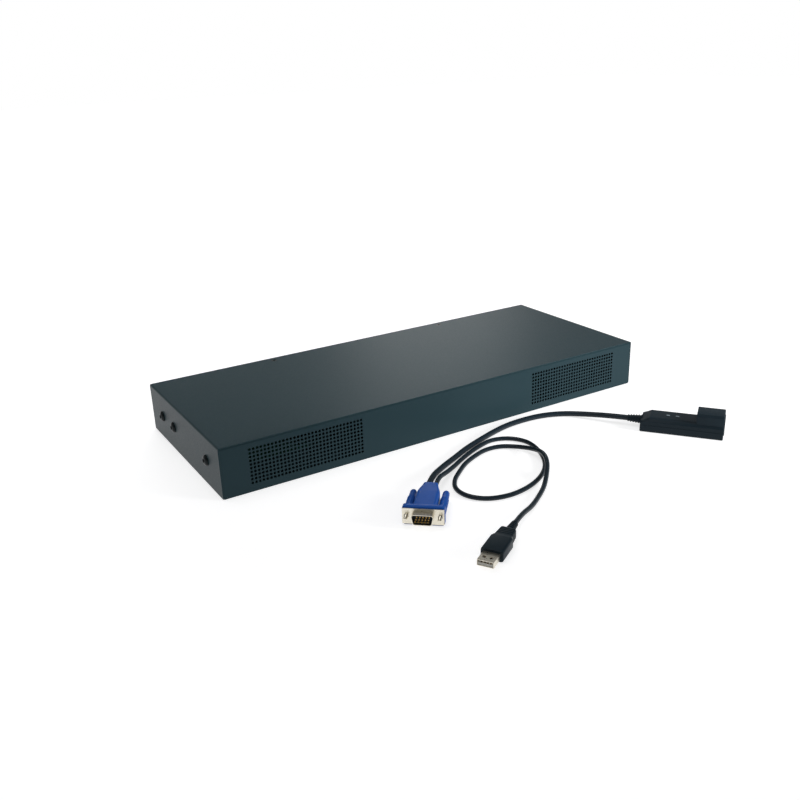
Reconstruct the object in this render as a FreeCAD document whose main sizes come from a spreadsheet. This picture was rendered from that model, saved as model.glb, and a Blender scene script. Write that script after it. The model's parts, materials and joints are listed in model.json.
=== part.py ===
import FreeCAD, Part
import math
import os
import re
import Sketcher
from FreeCAD import Placement, Rotation, Vector

# A 1U KVM switch in sheet metal, with the adapter cable that belongs to it lying in front.
# Frame: millimetres, origin under the middle of the case, +X right along the front,
# +Y towards the rear connectors, +Z up. Every size below is a cell of the sheet "sizes".

SIZES = {
    # case
    "case_width": 432.0,
    "case_depth": 171.0,
    "case_height": 43.7,
    "sheet": 1.0,
    "bend_radius": 1.5,
    "lap_gap": 0.1,
    "flange_depth": 12.0,
    "cover_lift": 0.5,
    "tray_wall": 38.0,
    # vent fields of the front panel
    "vent_columns": 16,
    "vent_rows": 5,
    "vent_pitch": 6.4,
    "vent_hole": 4.0,
    "vent_end_gap": 74.9,
    "vent_level": 22.0,
    # screws of the case
    "side_head_radius": 4.7,
    "side_head_top": 2.6,
    "side_head_height": 2.6,
    "side_screw_level": 22.5,
    "side_screw_front": -55.0,
    "side_screw_middle": 25.0,
    "side_screw_rear": 55.0,
    "cover_screw_offset": 96.0,
    "cover_screw_inset": 7.5,
    "cover_head_radius": 3.0,
    "cover_head_foot": 2.0,
    "cover_head_slack": 0.05,
    # main board
    "board_side_gap": 16.0,
    "board_right_share": 0.2315,
    "board_front_gap": 35.5,
    "board_rear_gap": 5.5,
    "board_level": 7.0,
    "board_thickness": 1.6,
    "standoff_radius": 3.0,
    "standoff_inset": 8.0,
    "standoff_rear": 60.0,
    "screw_head_radius": 2.8,
    "screw_head_height": 1.8,
    "chip_size": 35.0,
    "chip_height": 2.5,
    "chip_across": -70.0,
    "small_chip_size": 14.0,
    "small_chip_height": 1.6,
    "small_chip_rear": 48.0,
    "fin_pitch": 5.4,
    "fin_thickness": 1.4,
    "fin_foot": 2.0,
    "fin_rise": 14.0,
    "board_can_radius": 4.0,
    "board_can_height": 12.0,
    "board_can_pitch": 10.0,
    "board_can_inset": 20.0,
    "header_width": 8.0,
    "header_depth": 12.0,
    # modular jacks
    "jack_pitch": 16.0,
    "jack_wall": 0.5,
    "jack_height": 13.4,
    "jack_depth": 21.0,
    "jack_stand_out": 0.5,
    "jack_floor": 1.6,
    "jack_mouth_width": 11.8,
    "jack_mouth_height": 7.0,
    "jack_mouth_depth": 15.0,
    "jack_key_width": 6.4,
    "jack_key_height": 2.6,
    "cutout_slack": 0.2,
    "server_ports": 8,
    "server_share": -0.29,
    "service_ports": 2,
    "service_share": -0.08,
    # double USB socket
    "usb_socket_share": 0.004,
    "usb_socket_width": 13.1,
    "usb_socket_height": 15.6,
    "usb_socket_depth": 17.5,
    "usb_mouth_width": 12.3,
    "usb_mouth_height": 5.1,
    "usb_mouth_depth": 12.5,
    "usb_mouth_floor": 1.6,
    "usb_mouth_pitch": 7.4,
    "tongue_width": 11.0,
    "tongue_thickness": 1.9,
    "tongue_depth": 10.0,
    # fifteen-pole video connectors
    "video_share": 0.088,
    "video_level": 6.5,
    "plate_width": 30.8,
    "plate_height": 12.5,
    "plate_thickness": 0.8,
    "jackscrew_spacing": 25.0,
    "jackscrew_radius": 1.42,
    "shell_width": 16.9,
    "shell_height": 8.4,
    "shell_taper": 1.5,
    "shell_wall": 0.45,
    "shell_corner": 2.0,
    "shell_stand_out": 5.8,
    "socket_shrink": 1.2,
    "hex_radius": 2.9,
    "hex_length": 5.0,
    "insert_depth": 1.2,
    "pin_width": 0.75,
    "pin_length": 4.8,
    "pin_pitch": 2.29,
    "pin_row_pitch": 1.98,
    # reset button and status lamps
    "reset_share": 0.167,
    "button_radius": 2.2,
    "button_slack": 0.3,
    "button_stand_out": 1.0,
    "plunger_radius": 1.6,
    "plunger_slack": 0.06,
    "plunger_level": 5.0,
    "plunger_length": 4.0,
    "button_travel": 0.8,
    "tact_width": 7.0,
    "tact_depth": 6.0,
    "lamp_share": 0.195,
    "lamp_pitch": 8.0,
    "lamp_radius": 1.5,
    "lamp_foot": 5.0,
    "lamp_foot_height": 7.5,
    # power inlet and power switch
    "inlet_share": 0.428,
    "power_level": 22.0,
    "inlet_flange_width": 50.0,
    "inlet_flange_height": 22.5,
    "power_flange": 2.5,
    "inlet_body_width": 28.0,
    "inlet_body_height": 20.5,
    "power_body_depth": 16.0,
    "inlet_mouth_width": 24.2,
    "inlet_mouth_height": 16.6,
    "inlet_mouth_depth": 15.0,
    "inlet_corner": 5.0,
    "inlet_screw_spacing": 40.0,
    "inlet_pin_width": 2.0,
    "inlet_pin_height": 4.0,
    "inlet_pin_pitch": 7.0,
    "inlet_pin_rise": 2.0,
    "inlet_pin_length": 12.5,
    "terminal_length": 7.0,
    "rocker_share": 0.335,
    "rocker_bezel_width": 15.0,
    "rocker_bezel_height": 21.0,
    "rocker_body_width": 12.9,
    "rocker_body_height": 19.0,
    "rocker_well_width": 11.0,
    "rocker_well_height": 17.4,
    "rocker_well_depth": 9.0,
    "rocker_width": 10.4,
    "rocker_half_height": 7.9,
    "rocker_tip": 2.8,
    "rocker_valley": 1.2,
    "rocker_heel": 3.5,
    "rocker_slant": 2.5,
    "rocker_tilt": 10.0,
    "rocker_pivot_radius": 1.0,
    "rocker_pivot_slack": 0.05,
    "rocker_pivot_depth": 2.6,
    # power supply
    "supply_left_share": 0.2593,
    "supply_side_gap": 11.0,
    "supply_depth": 90.0,
    "supply_rear_gap": 35.5,
    "core_length": 30.0,
    "core_depth": 26.0,
    "core_height": 22.0,
    "core_lift": 2.0,
    "winding_rim": 3.0,
    "can_radius": 9.0,
    "can_gap": 4.1,
    "can_across": 31.5,
    "can_along": 23.0,
    "small_can_radius": 5.0,
    "small_can_height": 20.0,
    "small_can_across": -28.5,
    "small_can_along": -33.0,
    "small_can_pitch": 12.0,
    "sink_pitch": 8.0,
    "sink_fin": 1.5,
    "sink_foot": 2.5,
    "sink_reach": 9.0,
    "sink_height": 22.0,
    "filter_width": 20.0,
    "filter_depth": 18.0,
    "filter_inset": 2.0,
    "plug_inset": 4.0,
    "harness_width": 8.0,
    "harness_lift": 6.0,
    "harness_thickness": 2.5,
    "harness_foot": 6.0,
    "bundle_thickness": 4.0,
    # fan
    "fan_gap": 1.7,
    "fan_depth": 10.0,
    "fan_rim": 1.5,
    "fan_inset": 2.5,
    "fan_hub": 9.0,
    "fan_strut": 1.6,
    "fan_blade_gap": 1.3,
    "fan_blade_pitch": 35.0,
    "fan_blade_chord": 7.0,
    "fan_blade_thickness": 0.9,
    "fan_blades": 7,
    "fan_shaft_radius": 1.5,
    "fan_shaft_slack": 0.05,
    "bracket_foot": 9.0,
    # adapter: cable diameters and where its three ends lie
    "main_cable_radius": 2.45,
    "usb_cable_radius": 1.9,
    "cable_lead": 14.0,
    "video_plug_across": -110.0,
    "video_plug_along": -207.0,
    "video_plug_turn": -131.0,
    "usb_plug_across": -97.5,
    "usb_plug_along": -272.0,
    "usb_plug_turn": -148.0,
    "dongle_across": 147.2,
    "dongle_along": -169.6,
    "dongle_turn": -53.0,
    # adapter: video plug
    "rim_width": 31.4,
    "rim_height": 15.0,
    "rim_depth": 5.0,
    "hood_width": 17.6,
    "hood_height": 13.0,
    "hood_length": 26.0,
    "neck_width": 12.6,
    "neck_length": 16.0,
    "hood_round": 1.8,
    "cable_side": 2.7,
    "thumb_radius": 3.25,
    "thumb_length": 27.0,
    "thumb_gap": 1.5,
    "thumb_tip": 5.5,
    "thumb_slack": 0.08,
    "thumb_slot_depth": 1.2,
    "thumb_slot_width": 1.0,
    # adapter: USB plug
    "grip_width": 16.5,
    "grip_height": 8.6,
    "grip_length": 20.0,
    "grip_rear_width": 13.6,
    "grip_rear_length": 13.0,
    "grip_round": 1.4,
    "relief_length": 13.0,
    "relief_wide": 3.6,
    "relief_narrow": 2.7,
    "usb_shell_width": 12.0,
    "usb_shell_height": 4.5,
    "usb_shell_wall": 0.35,
    "usb_shell_length": 12.0,
    "usb_window": 2.3,
    "usb_window_across": 2.6,
    # adapter: dongle
    "dongle_width": 25.0,
    "dongle_height": 13.0,
    "dongle_split": 6.5,
    "dongle_length": 52.0,
    "dongle_wall": 1.5,
    "dongle_bevel": 3.0,
    "tower_width": 21.0,
    "tower_height": 21.0,
    "tower_length": 18.0,
    "dongle_relief_length": 12.0,
    "dongle_relief_wide": 4.2,
    "dongle_relief_neck": 3.0,
    "dongle_lamp_width": 3.0,
    "dongle_lamp_depth": 1.8,
}

# Routes of the two cables of the adapter on the table, between the leads at their ends:
# x, y and the height of the middle of the cable above its resting height.
MAIN_ROUTE = [
    (121, -128, 1.2), (107, -112, 0), (88, -104, 0), (68, -102, 0), (48, -103, 0), (28, -108, 0),
    (8, -115, 0), (-11, -122, 0), (-29, -131, 0), (-48, -141, 1.0),
]
USB_ROUTE = [
    (-53, -153, 2.4), (-39, -144, 0.4), (-26, -136, 0), (-12, -129, 0), (3, -123, 0), (18, -119, 0),
    (33, -125, 0), (41, -139, 0), (39, -155, 0), (33, -170, 0), (24, -184, 0), (12, -195, 0),
    (-2, -203, 0), (-18, -208, 0), (-34, -209, 0), (-50, -204, 0), (-60, -192, 0), (-61, -177, 0),
    (-53, -164, 0), (-41, -154, 0), (-28, -144, 0), (-13, -137, 0), (2, -132, 0), (17, -134, 0),
    (28, -145, 0.4), (31, -160, 3.4), (28, -176, 7.1), (20, -191, 7.1), (9, -203, 3.4),
    (-3, -214, 0.4), (-16, -223, 0), (-30, -232, 0),
]

doc = FreeCAD.newDocument("kvm_switch")
sheet = doc.addObject("Spreadsheet::Sheet", "sizes")
for row, (alias, number) in enumerate(SIZES.items(), start=1):
    sheet.set(f"A{row}", alias)
    sheet.set(f"B{row}", str(number))
    sheet.setAlias(f"B{row}", alias)
doc.recompute()

pieces = []


# ---- helpers -------------------------------------------------------------------------------

def size(alias):
    """The number that a cell of the sheet holds."""
    return float(sheet.get(alias))


def linked(expression):
    """An expression in which each size's name points at its cell."""
    def cell(match):
        word = match.group()
        return "sizes." + word if word in SIZES else word
    return re.sub(r"[a-z][a-z0-9_]*", cell, str(expression))


def bind(item, **values):
    for name, expression in values.items():
        item.setExpression(name, linked(expression))


def place(item, corner):
    """Bind the place of an object to three expressions."""
    for axis, expression in zip("xyz", corner):
        item.setExpression("Placement.Base." + axis, linked(expression))
    return item


def block(lengths, corner):
    """A box from its three lengths and its lowest corner."""
    box = doc.addObject("Part::Box", "block")
    bind(box, Length=lengths[0], Width=lengths[1], Height=lengths[2])
    return place(box, corner)


def centred(width, depth, height, middle, low_y, low_z):
    """A box whose width is centred on a place along X."""
    return block((width, depth, height), (f"{middle} - ({width})/2", low_y, low_z))


TURNS = {
    "X": Rotation(Vector(0, 1, 0), 90),
    "Y": Rotation(Vector(1, 0, 0), -90),
    "Z": Rotation(),
}


def rod(radius, length, start, axis="Z"):
    """A cylinder that runs from its start along an axis."""
    cylinder = doc.addObject("Part::Cylinder", "rod")
    bind(cylinder, Radius=radius, Height=length)
    cylinder.Placement = Placement(Vector(), TURNS[axis])
    return place(cylinder, start)


def taper(start_radius, end_radius, length, start, axis="Z"):
    """A small tapered form with flat sides that runs from its start along an axis."""
    ends = []
    for radius, along in ((start_radius, "0"), (end_radius, length)):
        ring = doc.addObject("Part::RegularPolygon", "ring")
        ring.Polygon = FLATS
        bind(ring, Circumradius=radius)
        ends.append(place(ring, ("0", "0", along)))
    loft = doc.addObject("Part::Loft", "taper")
    loft.Sections = ends
    loft.Solid = True
    loft.Ruled = True
    loft.Placement = Placement(Vector(), TURNS[axis])
    return place(loft, start)


def prism(radius, length, start, axis="Z", sides=6):
    """A bar with flat sides that runs from its start along an axis."""
    bar = doc.addObject("Part::Prism", "prism")
    bar.Polygon = sides
    bind(bar, Circumradius=radius, Height=length)
    bar.Placement = Placement(Vector(), TURNS[axis])
    return place(bar, start)


def peg(radius, length, start, axis="Z"):
    """A small round thing that nothing turns in, with flat sides to stay light."""
    return prism(radius, length, start, axis, FLATS)


def fuse(*parts):
    union = doc.addObject("Part::MultiFuse", "union")
    union.Shapes = list(parts)
    return union


def cut(base, *tools):
    difference = doc.addObject("Part::Cut", "difference")
    difference.Base = base
    difference.Tool = tools[0] if len(tools) == 1 else fuse(*tools)
    return difference


def group(*parts):
    """Separate solids that share one node."""
    compound = doc.addObject("Part::Compound", "group")
    compound.Links = list(parts)
    return compound


def origin_plane(body, role):
    return next(item for item in body.Origin.OriginFeatures if item.Role == role)


def outline(body, plane, corners):
    """A closed sketch of straight lines on an origin plane, each corner bound to the sheet."""
    sketch = body.newObject("Sketcher::SketchObject", "outline")
    sketch.AttachmentSupport = [(origin_plane(body, plane), "")]
    sketch.MapMode = "FlatFace"
    count = len(corners)
    ring = [Vector(math.cos(2 * math.pi * i / count), math.sin(2 * math.pi * i / count), 0)
            for i in range(count)]
    for i in range(count):
        sketch.addGeometry(Part.LineSegment(ring[i], ring[(i + 1) % count]), False)
    for i in range(count):
        sketch.addConstraint(Sketcher.Constraint("Coincident", i, 2, (i + 1) % count, 1))
    for i, corner in enumerate(corners):
        for kind, expression in zip(("DistanceX", "DistanceY"), corner):
            number = sketch.addConstraint(Sketcher.Constraint(kind, -1, 1, i, 1, 1.0))
            sketch.setExpression(f"Constraints[{number}]", linked(expression))
    return sketch


def profile(plane, corners, length):
    """A PartDesign body: an outline padded by half its length to both sides of its plane."""
    body = doc.addObject("PartDesign::Body", "profile")
    pad = body.newObject("PartDesign::Pad", "pad")
    pad.Profile = outline(body, plane, corners)
    pad.Midplane = True
    bind(pad, Length=length)
    return body


def round_edges(body, radius, chosen):
    """Fillet the edges of a body whose middle passes the test."""
    doc.recompute()
    base = body.Tip
    names = [f"Edge{i}" for i, edge in enumerate(base.Shape.Edges, start=1)
             if chosen(edge.BoundBox.Center, edge.BoundBox)]
    fillet = body.newObject("PartDesign::Fillet", "fillet")
    fillet.Base = (base, names)
    bind(fillet, Radius=radius)
    return body


def near(first, second):
    return abs(first - second) < 0.01


def sub_part(name, item):
    """Give the finished solid its name and keep it for the export."""
    item.Label = name
    pieces.append(item)
    return item


def mirrored_pair(expression):
    return expression, f"-({expression})"


FLATS = 12
CORD_FLATS = 8
BOARD_TOP = "board_level + board_thickness"
REAR = "case_depth/2"
REAR_INNER = "case_depth/2 - sheet"
PANEL_WIDTH = "case_width - 2*sheet - 2*lap_gap"
PANEL_TOP = "case_height - sheet - lap_gap"
BOARD_LEFT = "(-case_width/2 + board_side_gap)"
BOARD_RIGHT = "case_width*board_right_share"
BOARD_FRONT = "(-case_depth/2 + board_front_gap)"
BOARD_REAR = "(case_depth/2 - board_rear_gap)"
SERVER_CENTRE = "case_width*server_share"
SERVICE_CENTRE = "case_width*service_share"
USB_CENTRE = "case_width*usb_socket_share"
VIDEO_CENTRE = "case_width*video_share"
VIDEO_LEVEL = f"({BOARD_TOP} + video_level)"
RESET_CENTRE = "case_width*reset_share"
LAMP_FIRST = "case_width*lamp_share"
INLET_CENTRE = "case_width*inlet_share"
ROCKER_CENTRE = "case_width*rocker_share"
VENT_CENTRE = "(case_width/2 - vent_end_gap)"
SUPPLY_LEFT = "case_width*supply_left_share"
SUPPLY_RIGHT = "(case_width/2 - supply_side_gap)"
SUPPLY_REAR = "(case_depth/2 - supply_rear_gap)"
SUPPLY_FRONT = f"({SUPPLY_REAR} - supply_depth)"
SUPPLY_MIDDLE = f"({SUPPLY_LEFT} + {SUPPLY_RIGHT})/2"
SUPPLY_HALFWAY = f"({SUPPLY_FRONT} + {SUPPLY_REAR})/2"
FAN_SIZE = "(case_height - 2*sheet - fan_gap)"
FAN_BORE = f"({FAN_SIZE}/2 - fan_rim)"
FAN_FRONT = "(-case_depth/2 + flange_depth + fan_inset)"


# ---- case ----------------------------------------------------------------------------------

def side_screw_places():
    """The three side screws of each side: (side, place along Y)."""
    return [(side, along) for side in (-1, 1)
            for along in ("side_screw_front", "side_screw_middle", "side_screw_rear")]


def cover_screw_heads(slack):
    """Countersunk screw heads at their two places in the cover, widened by a slack."""
    return [taper(f"cover_head_foot + {slack}", f"cover_head_radius + {slack}", "sheet",
                  (across, f"{REAR} - cover_screw_inset", "case_height - sheet"))
            for across in mirrored_pair("cover_screw_offset")]


def top_cover():
    """Top and both sides bent from one sheet, with the seats of its countersunk screws."""
    half = "case_width/2"
    low = "cover_lift"
    body = profile("XZ_Plane", [
        (f"-{half}", low), (f"-{half}", "case_height"),
        (half, "case_height"), (half, low),
        (f"{half} - sheet", low), (f"{half} - sheet", "case_height - sheet"),
        (f"-{half} + sheet", "case_height - sheet"), (f"-{half} + sheet", low),
    ], "case_depth")
    top = size("case_height")
    round_edges(body, "bend_radius", lambda middle, box: near(middle.z, top) and box.YLength > 1)
    inner = top - size("sheet")
    round_edges(body, "bend_radius - sheet",
                lambda middle, box: near(middle.z, inner) and box.YLength > 1
                and box.XLength < 0.01 and abs(middle.x) > size("case_width") / 2 - 2 * size("sheet"))
    sub_part("top_cover", cut(body, *cover_screw_heads("cover_head_slack")))


def base_tray():
    """Floor with two upright walls inside the cover's sides."""
    half = "case_width/2 - sheet - lap_gap"
    walls = profile("XZ_Plane", [
        (f"-({half})", "0"), (f"-({half})", "tray_wall"),
        (f"-({half}) + sheet", "tray_wall"), (f"-({half}) + sheet", "sheet"),
        (f"{half} - sheet", "sheet"), (f"{half} - sheet", "tray_wall"),
        (half, "tray_wall"), (half, "0"),
    ], "case_depth - 2*flange_depth - 2*lap_gap")
    floor_size = (f"2*({half})", "case_depth - 2*sheet - 2*lap_gap", "sheet")
    floor = block(floor_size, (f"-({half})", "-case_depth/2 + sheet + lap_gap", "0"))
    sub_part("base_tray", fuse(walls, floor))


def flanged_wall(sign):
    """An upright panel with a flange under the cover and one on the floor, as corners in Y and Z."""
    def at(depth):
        return f"{sign}*({depth})"
    return [
        (at(REAR), "0"), (at(REAR), PANEL_TOP),
        (at(f"{REAR} - flange_depth"), PANEL_TOP), (at(f"{REAR} - flange_depth"), f"{PANEL_TOP} - sheet"),
        (at(REAR_INNER), f"{PANEL_TOP} - sheet"), (at(REAR_INNER), "2*sheet"),
        (at(f"{REAR} - flange_depth"), "2*sheet"), (at(f"{REAR} - flange_depth"), "sheet"),
        (at(REAR_INNER), "sheet"), (at(REAR_INNER), "0"),
    ]


def panel_body(sign):
    """A flanged wall with its upper bend rounded."""
    body = profile("YZ_Plane", flanged_wall(sign), PANEL_WIDTH)
    top = size("case_height") - size("sheet") - size("lap_gap")
    face = size("case_depth") / 2
    round_edges(body, "bend_radius", lambda middle, box: near(middle.z, top)
                and near(abs(middle.y), face))
    return round_edges(body, "bend_radius - sheet", lambda middle, box: near(middle.z, top - size("sheet"))
                       and near(abs(middle.y), face - size("sheet")))


def corner_notches(sign):
    """Room for the cover's inner bends at both upper corners of a panel."""
    notch = "(bend_radius - sheet)"
    low_y = f"{REAR} - flange_depth - 1" if sign > 0 else f"-{REAR} - 1"
    return [block((f"{notch} + 1", "flange_depth + 2", f"{notch} + 1"),
                  (low_x, low_y, f"{PANEL_TOP} - {notch}"))
            for low_x in (f"({PANEL_WIDTH})/2 - {notch}", f"-({PANEL_WIDTH})/2 - 1")]


def front_panel():
    """Front wall with its two fields of square vent holes, one field mirrored into the other."""
    body = panel_body(-1)
    doc.recompute()
    first_x = f"{VENT_CENTRE} - (vent_columns - 1)*vent_pitch/2"
    first_z = "vent_level - (vent_rows - 1)*vent_pitch/2"
    low_x, high_x = f"{first_x} - vent_hole/2", f"{first_x} + vent_hole/2"
    low_z, high_z = f"{first_z} - vent_hole/2", f"{first_z} + vent_hole/2"
    sketch = outline(body, "XZ_Plane", [(low_x, low_z), (high_x, low_z), (high_x, high_z), (low_x, high_z)])
    hole = body.newObject("PartDesign::Pocket", "hole")
    hole.Profile = sketch
    hole.Type = "ThroughAll"
    hole.Midplane = True
    doc.recompute()
    field = body.newObject("PartDesign::MultiTransform", "field")
    field.Originals = [hole]
    columns = body.newObject("PartDesign::LinearPattern", "columns")
    columns.Direction = (sketch, ["H_Axis"])
    bind(columns, Length="(vent_columns - 1)*vent_pitch", Occurrences="vent_columns")
    rows = body.newObject("PartDesign::LinearPattern", "rows")
    rows.Direction = (sketch, ["V_Axis"])
    bind(rows, Length="(vent_rows - 1)*vent_pitch", Occurrences="vent_rows")
    other_side = body.newObject("PartDesign::Mirrored", "other_side")
    other_side.MirrorPlane = (sketch, ["V_Axis"])
    field.Transformations = [columns, rows, other_side]
    body.Tip = field
    sub_part("front_panel", cut(body, *corner_notches(-1)))


def side_screws():
    """The heads of the six screws on the cover's sides."""
    heads = []
    for side, along in side_screw_places():
        start = "case_width/2" if side > 0 else "-case_width/2 - side_head_height"
        radii = ("side_head_radius", "side_head_top")[::side]
        heads.append(taper(*radii, "side_head_height", (start, along, "side_screw_level"), "X"))
    sub_part("side_screws", group(*heads))


def cover_screws():
    sub_part("cover_screws", group(*cover_screw_heads("0")))


# ---- main board ----------------------------------------------------------------------------

def standoff_places():
    across = (f"{BOARD_LEFT} + standoff_inset", f"({BOARD_LEFT} + {BOARD_RIGHT})/2",
              f"{BOARD_RIGHT} - standoff_inset")
    along = (f"{BOARD_FRONT} + standoff_inset", f"{BOARD_REAR} - standoff_rear")
    return [(x, y) for x in across for y in along]


def main_board():
    """The board between its hexagonal posts and the heads of its screws."""
    sub_part("main_board", block((f"{BOARD_RIGHT} - {BOARD_LEFT}", f"{BOARD_REAR} - {BOARD_FRONT}",
                                  "board_thickness"), (BOARD_LEFT, BOARD_FRONT, "board_level")))
    posts = [prism("standoff_radius", "board_level - sheet", (x, y, "sheet")) for x, y in standoff_places()]
    sub_part("board_standoffs", group(*posts))
    heads = [prism("screw_head_radius", "screw_head_height", (x, y, BOARD_TOP)) for x, y in standoff_places()]
    sub_part("board_screws", group(*heads))


def comb(fins, pitch, thickness, foot, rise):
    """Corners of a foot that carries upright fins, about its middle."""
    half = f"(({fins} - 1)*{pitch} + {thickness})/2"
    corners = [(f"-{half}", "0")]
    for i in range(fins):
        left = f"{i}*{pitch} - {half}"
        right = f"{left} + {thickness}"
        corners += [(left, foot), (left, rise), (right, rise), (right, foot)]
    return corners + [(half, "0")]


def board_parts():
    """The chips, the finned heatsink, the capacitors and the power header of the main board."""
    main_chip = centred("chip_size", "chip_size", "chip_height", "chip_across", "-chip_size/2", BOARD_TOP)
    others = [centred("small_chip_size", "small_chip_size", "small_chip_height",
                      f"{SERVER_CENTRE} + ({i} - (server_ports - 1)/2)*jack_pitch",
                      f"{BOARD_REAR} - small_chip_rear", BOARD_TOP)
              for i in range(int(size("server_ports")))]
    others.append(centred("small_chip_size", "small_chip_size", "small_chip_height", USB_CENTRE,
                          "0", BOARD_TOP))
    sub_part("board_chips", group(main_chip, *others))
    heatsink = profile("XZ_Plane", comb(7, "fin_pitch", "fin_thickness", "fin_foot", "fin_rise"), "chip_size")
    sub_part("chip_heatsink", place(heatsink, ("chip_across", "0", f"{BOARD_TOP} + chip_height")))
    cans = [peg("board_can_radius", "board_can_height",
                (f"{BOARD_RIGHT} - ({i} + 2)*board_can_pitch", f"{BOARD_FRONT} + board_can_inset", BOARD_TOP))
            for i in range(3)]
    sub_part("board_capacitors", group(*cans))
    sub_part("board_header", block(("header_width", "header_depth", "header_width"),
                                   (f"{BOARD_RIGHT} - 2*header_width", "-header_depth/2", BOARD_TOP)))


# ---- rear connectors -----------------------------------------------------------------------

def jack_front():
    return f"{REAR} + jack_stand_out"


def jack_block(name, centre, ports):
    """A row of modular jacks in one housing: each mouth is a tall slot over a narrower key slot."""
    width = f"{ports}*jack_pitch + 2*jack_wall"
    housing = centred(width, "jack_depth", "jack_height", centre, f"{jack_front()} - jack_depth", BOARD_TOP)
    mouths = []
    for i in range(int(size(ports))):
        middle = f"{centre} + ({i} - ({ports} - 1)/2)*jack_pitch"
        low_y = f"{jack_front()} - jack_mouth_depth"
        mouths.append(centred("jack_key_width", "jack_mouth_depth + 1", "jack_key_height + 0.5", middle,
                              low_y, f"{BOARD_TOP} + jack_floor"))
        mouths.append(centred("jack_mouth_width", "jack_mouth_depth + 1", "jack_mouth_height", middle,
                              low_y, f"{BOARD_TOP} + jack_floor + jack_key_height"))
    sub_part(name, cut(housing, *mouths))


def jack_cutout(centre, ports):
    return centred(f"{ports}*jack_pitch + 2*jack_wall + 2*cutout_slack", "3*sheet",
                   "jack_height + 2*cutout_slack", centre, f"{REAR} - 2*sheet",
                   f"{BOARD_TOP} - cutout_slack")


def usb_socket():
    """Two USB sockets one over the other: a metal shell and its two tongues."""
    front = jack_front()
    shell = centred("usb_socket_width", "usb_socket_depth", "usb_socket_height", USB_CENTRE,
                    f"{front} - usb_socket_depth", BOARD_TOP)
    mouths = []
    tongues = []
    for i in range(2):
        low = f"{BOARD_TOP} + usb_mouth_floor + {i}*usb_mouth_pitch"
        mouths.append(centred("usb_mouth_width", "usb_mouth_depth + 1", "usb_mouth_height",
                              USB_CENTRE, f"{front} - usb_mouth_depth", low))
        tongues.append(centred("tongue_width", "tongue_depth", "tongue_thickness", USB_CENTRE,
                               f"{front} - usb_mouth_depth",
                               f"{low} + usb_mouth_height - tongue_thickness - 0.6"))
    sub_part("usb_socket_shell", cut(shell, *mouths))
    sub_part("usb_socket_tongues", group(*tongues))


def video_shell_form(shrink, length):
    """The D form of a video connector, padded along X, its wide side up."""
    half_top = f"(shell_width - {shrink})/2"
    half_low = f"({half_top} - shell_taper)"
    half_high = f"(shell_height - {shrink})/2"
    body = profile("YZ_Plane", [
        (f"-{half_top}", half_high), (half_top, half_high),
        (half_low, f"-({half_high})"), (f"-{half_low}", f"-({half_high})"),
    ], length)
    round_edges(body, f"shell_corner - {shrink}/2", lambda middle, box: box.XLength > 1)
    return body


def turned_to_rear(item, along):
    """Stand a piece that was drawn along X on the rear panel, along Y."""
    item.Placement = Placement(Vector(), Rotation(Vector(0, 0, 1), 90))
    return place(item, (VIDEO_CENTRE, along, VIDEO_LEVEL))


def video_socket():
    """Local video socket: metal plate and shell, the insert in it and the two hexagon nuts."""
    length = "shell_stand_out + sheet"
    ring = cut(video_shell_form("socket_shrink", length),
               video_shell_form("(socket_shrink + 2*shell_wall)", f"{length} + 2"))
    ring = turned_to_rear(ring, f"{REAR_INNER} + ({length})/2")
    plate = centred("plate_width", "plate_thickness", "plate_height", VIDEO_CENTRE,
                    f"{REAR_INNER} - plate_thickness", f"{VIDEO_LEVEL} - plate_height/2")
    sub_part("video_socket_shell", fuse(ring, plate))
    core = turned_to_rear(video_shell_form("(socket_shrink + 2*shell_wall + 2*lap_gap)",
                                           "shell_stand_out + sheet - 0.5"),
                          f"{REAR_INNER} + (shell_stand_out + sheet - 0.5)/2")
    holes = []
    for row in (-1, 0, 1):
        for column in (-2, -1, 0, 1, 2):
            holes.append(centred("pin_width + 0.2", "pin_length + 0.2", "pin_width + 0.2",
                                 f"{VIDEO_CENTRE} + ({column} - {row}/4)*pin_pitch",
                                 f"{REAR_INNER} + shell_stand_out + sheet - 0.5 - pin_length",
                                 f"{VIDEO_LEVEL} - {row}*pin_row_pitch - (pin_width + 0.2)/2"))
    back = centred("plate_width - 10", "9", "video_level + 4", VIDEO_CENTRE,
                   f"{REAR_INNER} - plate_thickness - 9", BOARD_TOP)
    sub_part("video_socket_insert", group(cut(core, *holes), back))
    nuts = []
    for side in (-1, 1):
        across = f"{VIDEO_CENTRE} + {side}*jackscrew_spacing/2"
        nut = prism("hex_radius", "hex_length", (across, REAR, VIDEO_LEVEL), "Y")
        bore = rod("jackscrew_radius", "hex_length", (across, f"{REAR} + 0.5", VIDEO_LEVEL), "Y")
        nuts.append(cut(nut, bore))
    sub_part("video_socket_nuts", group(*nuts))


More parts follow.
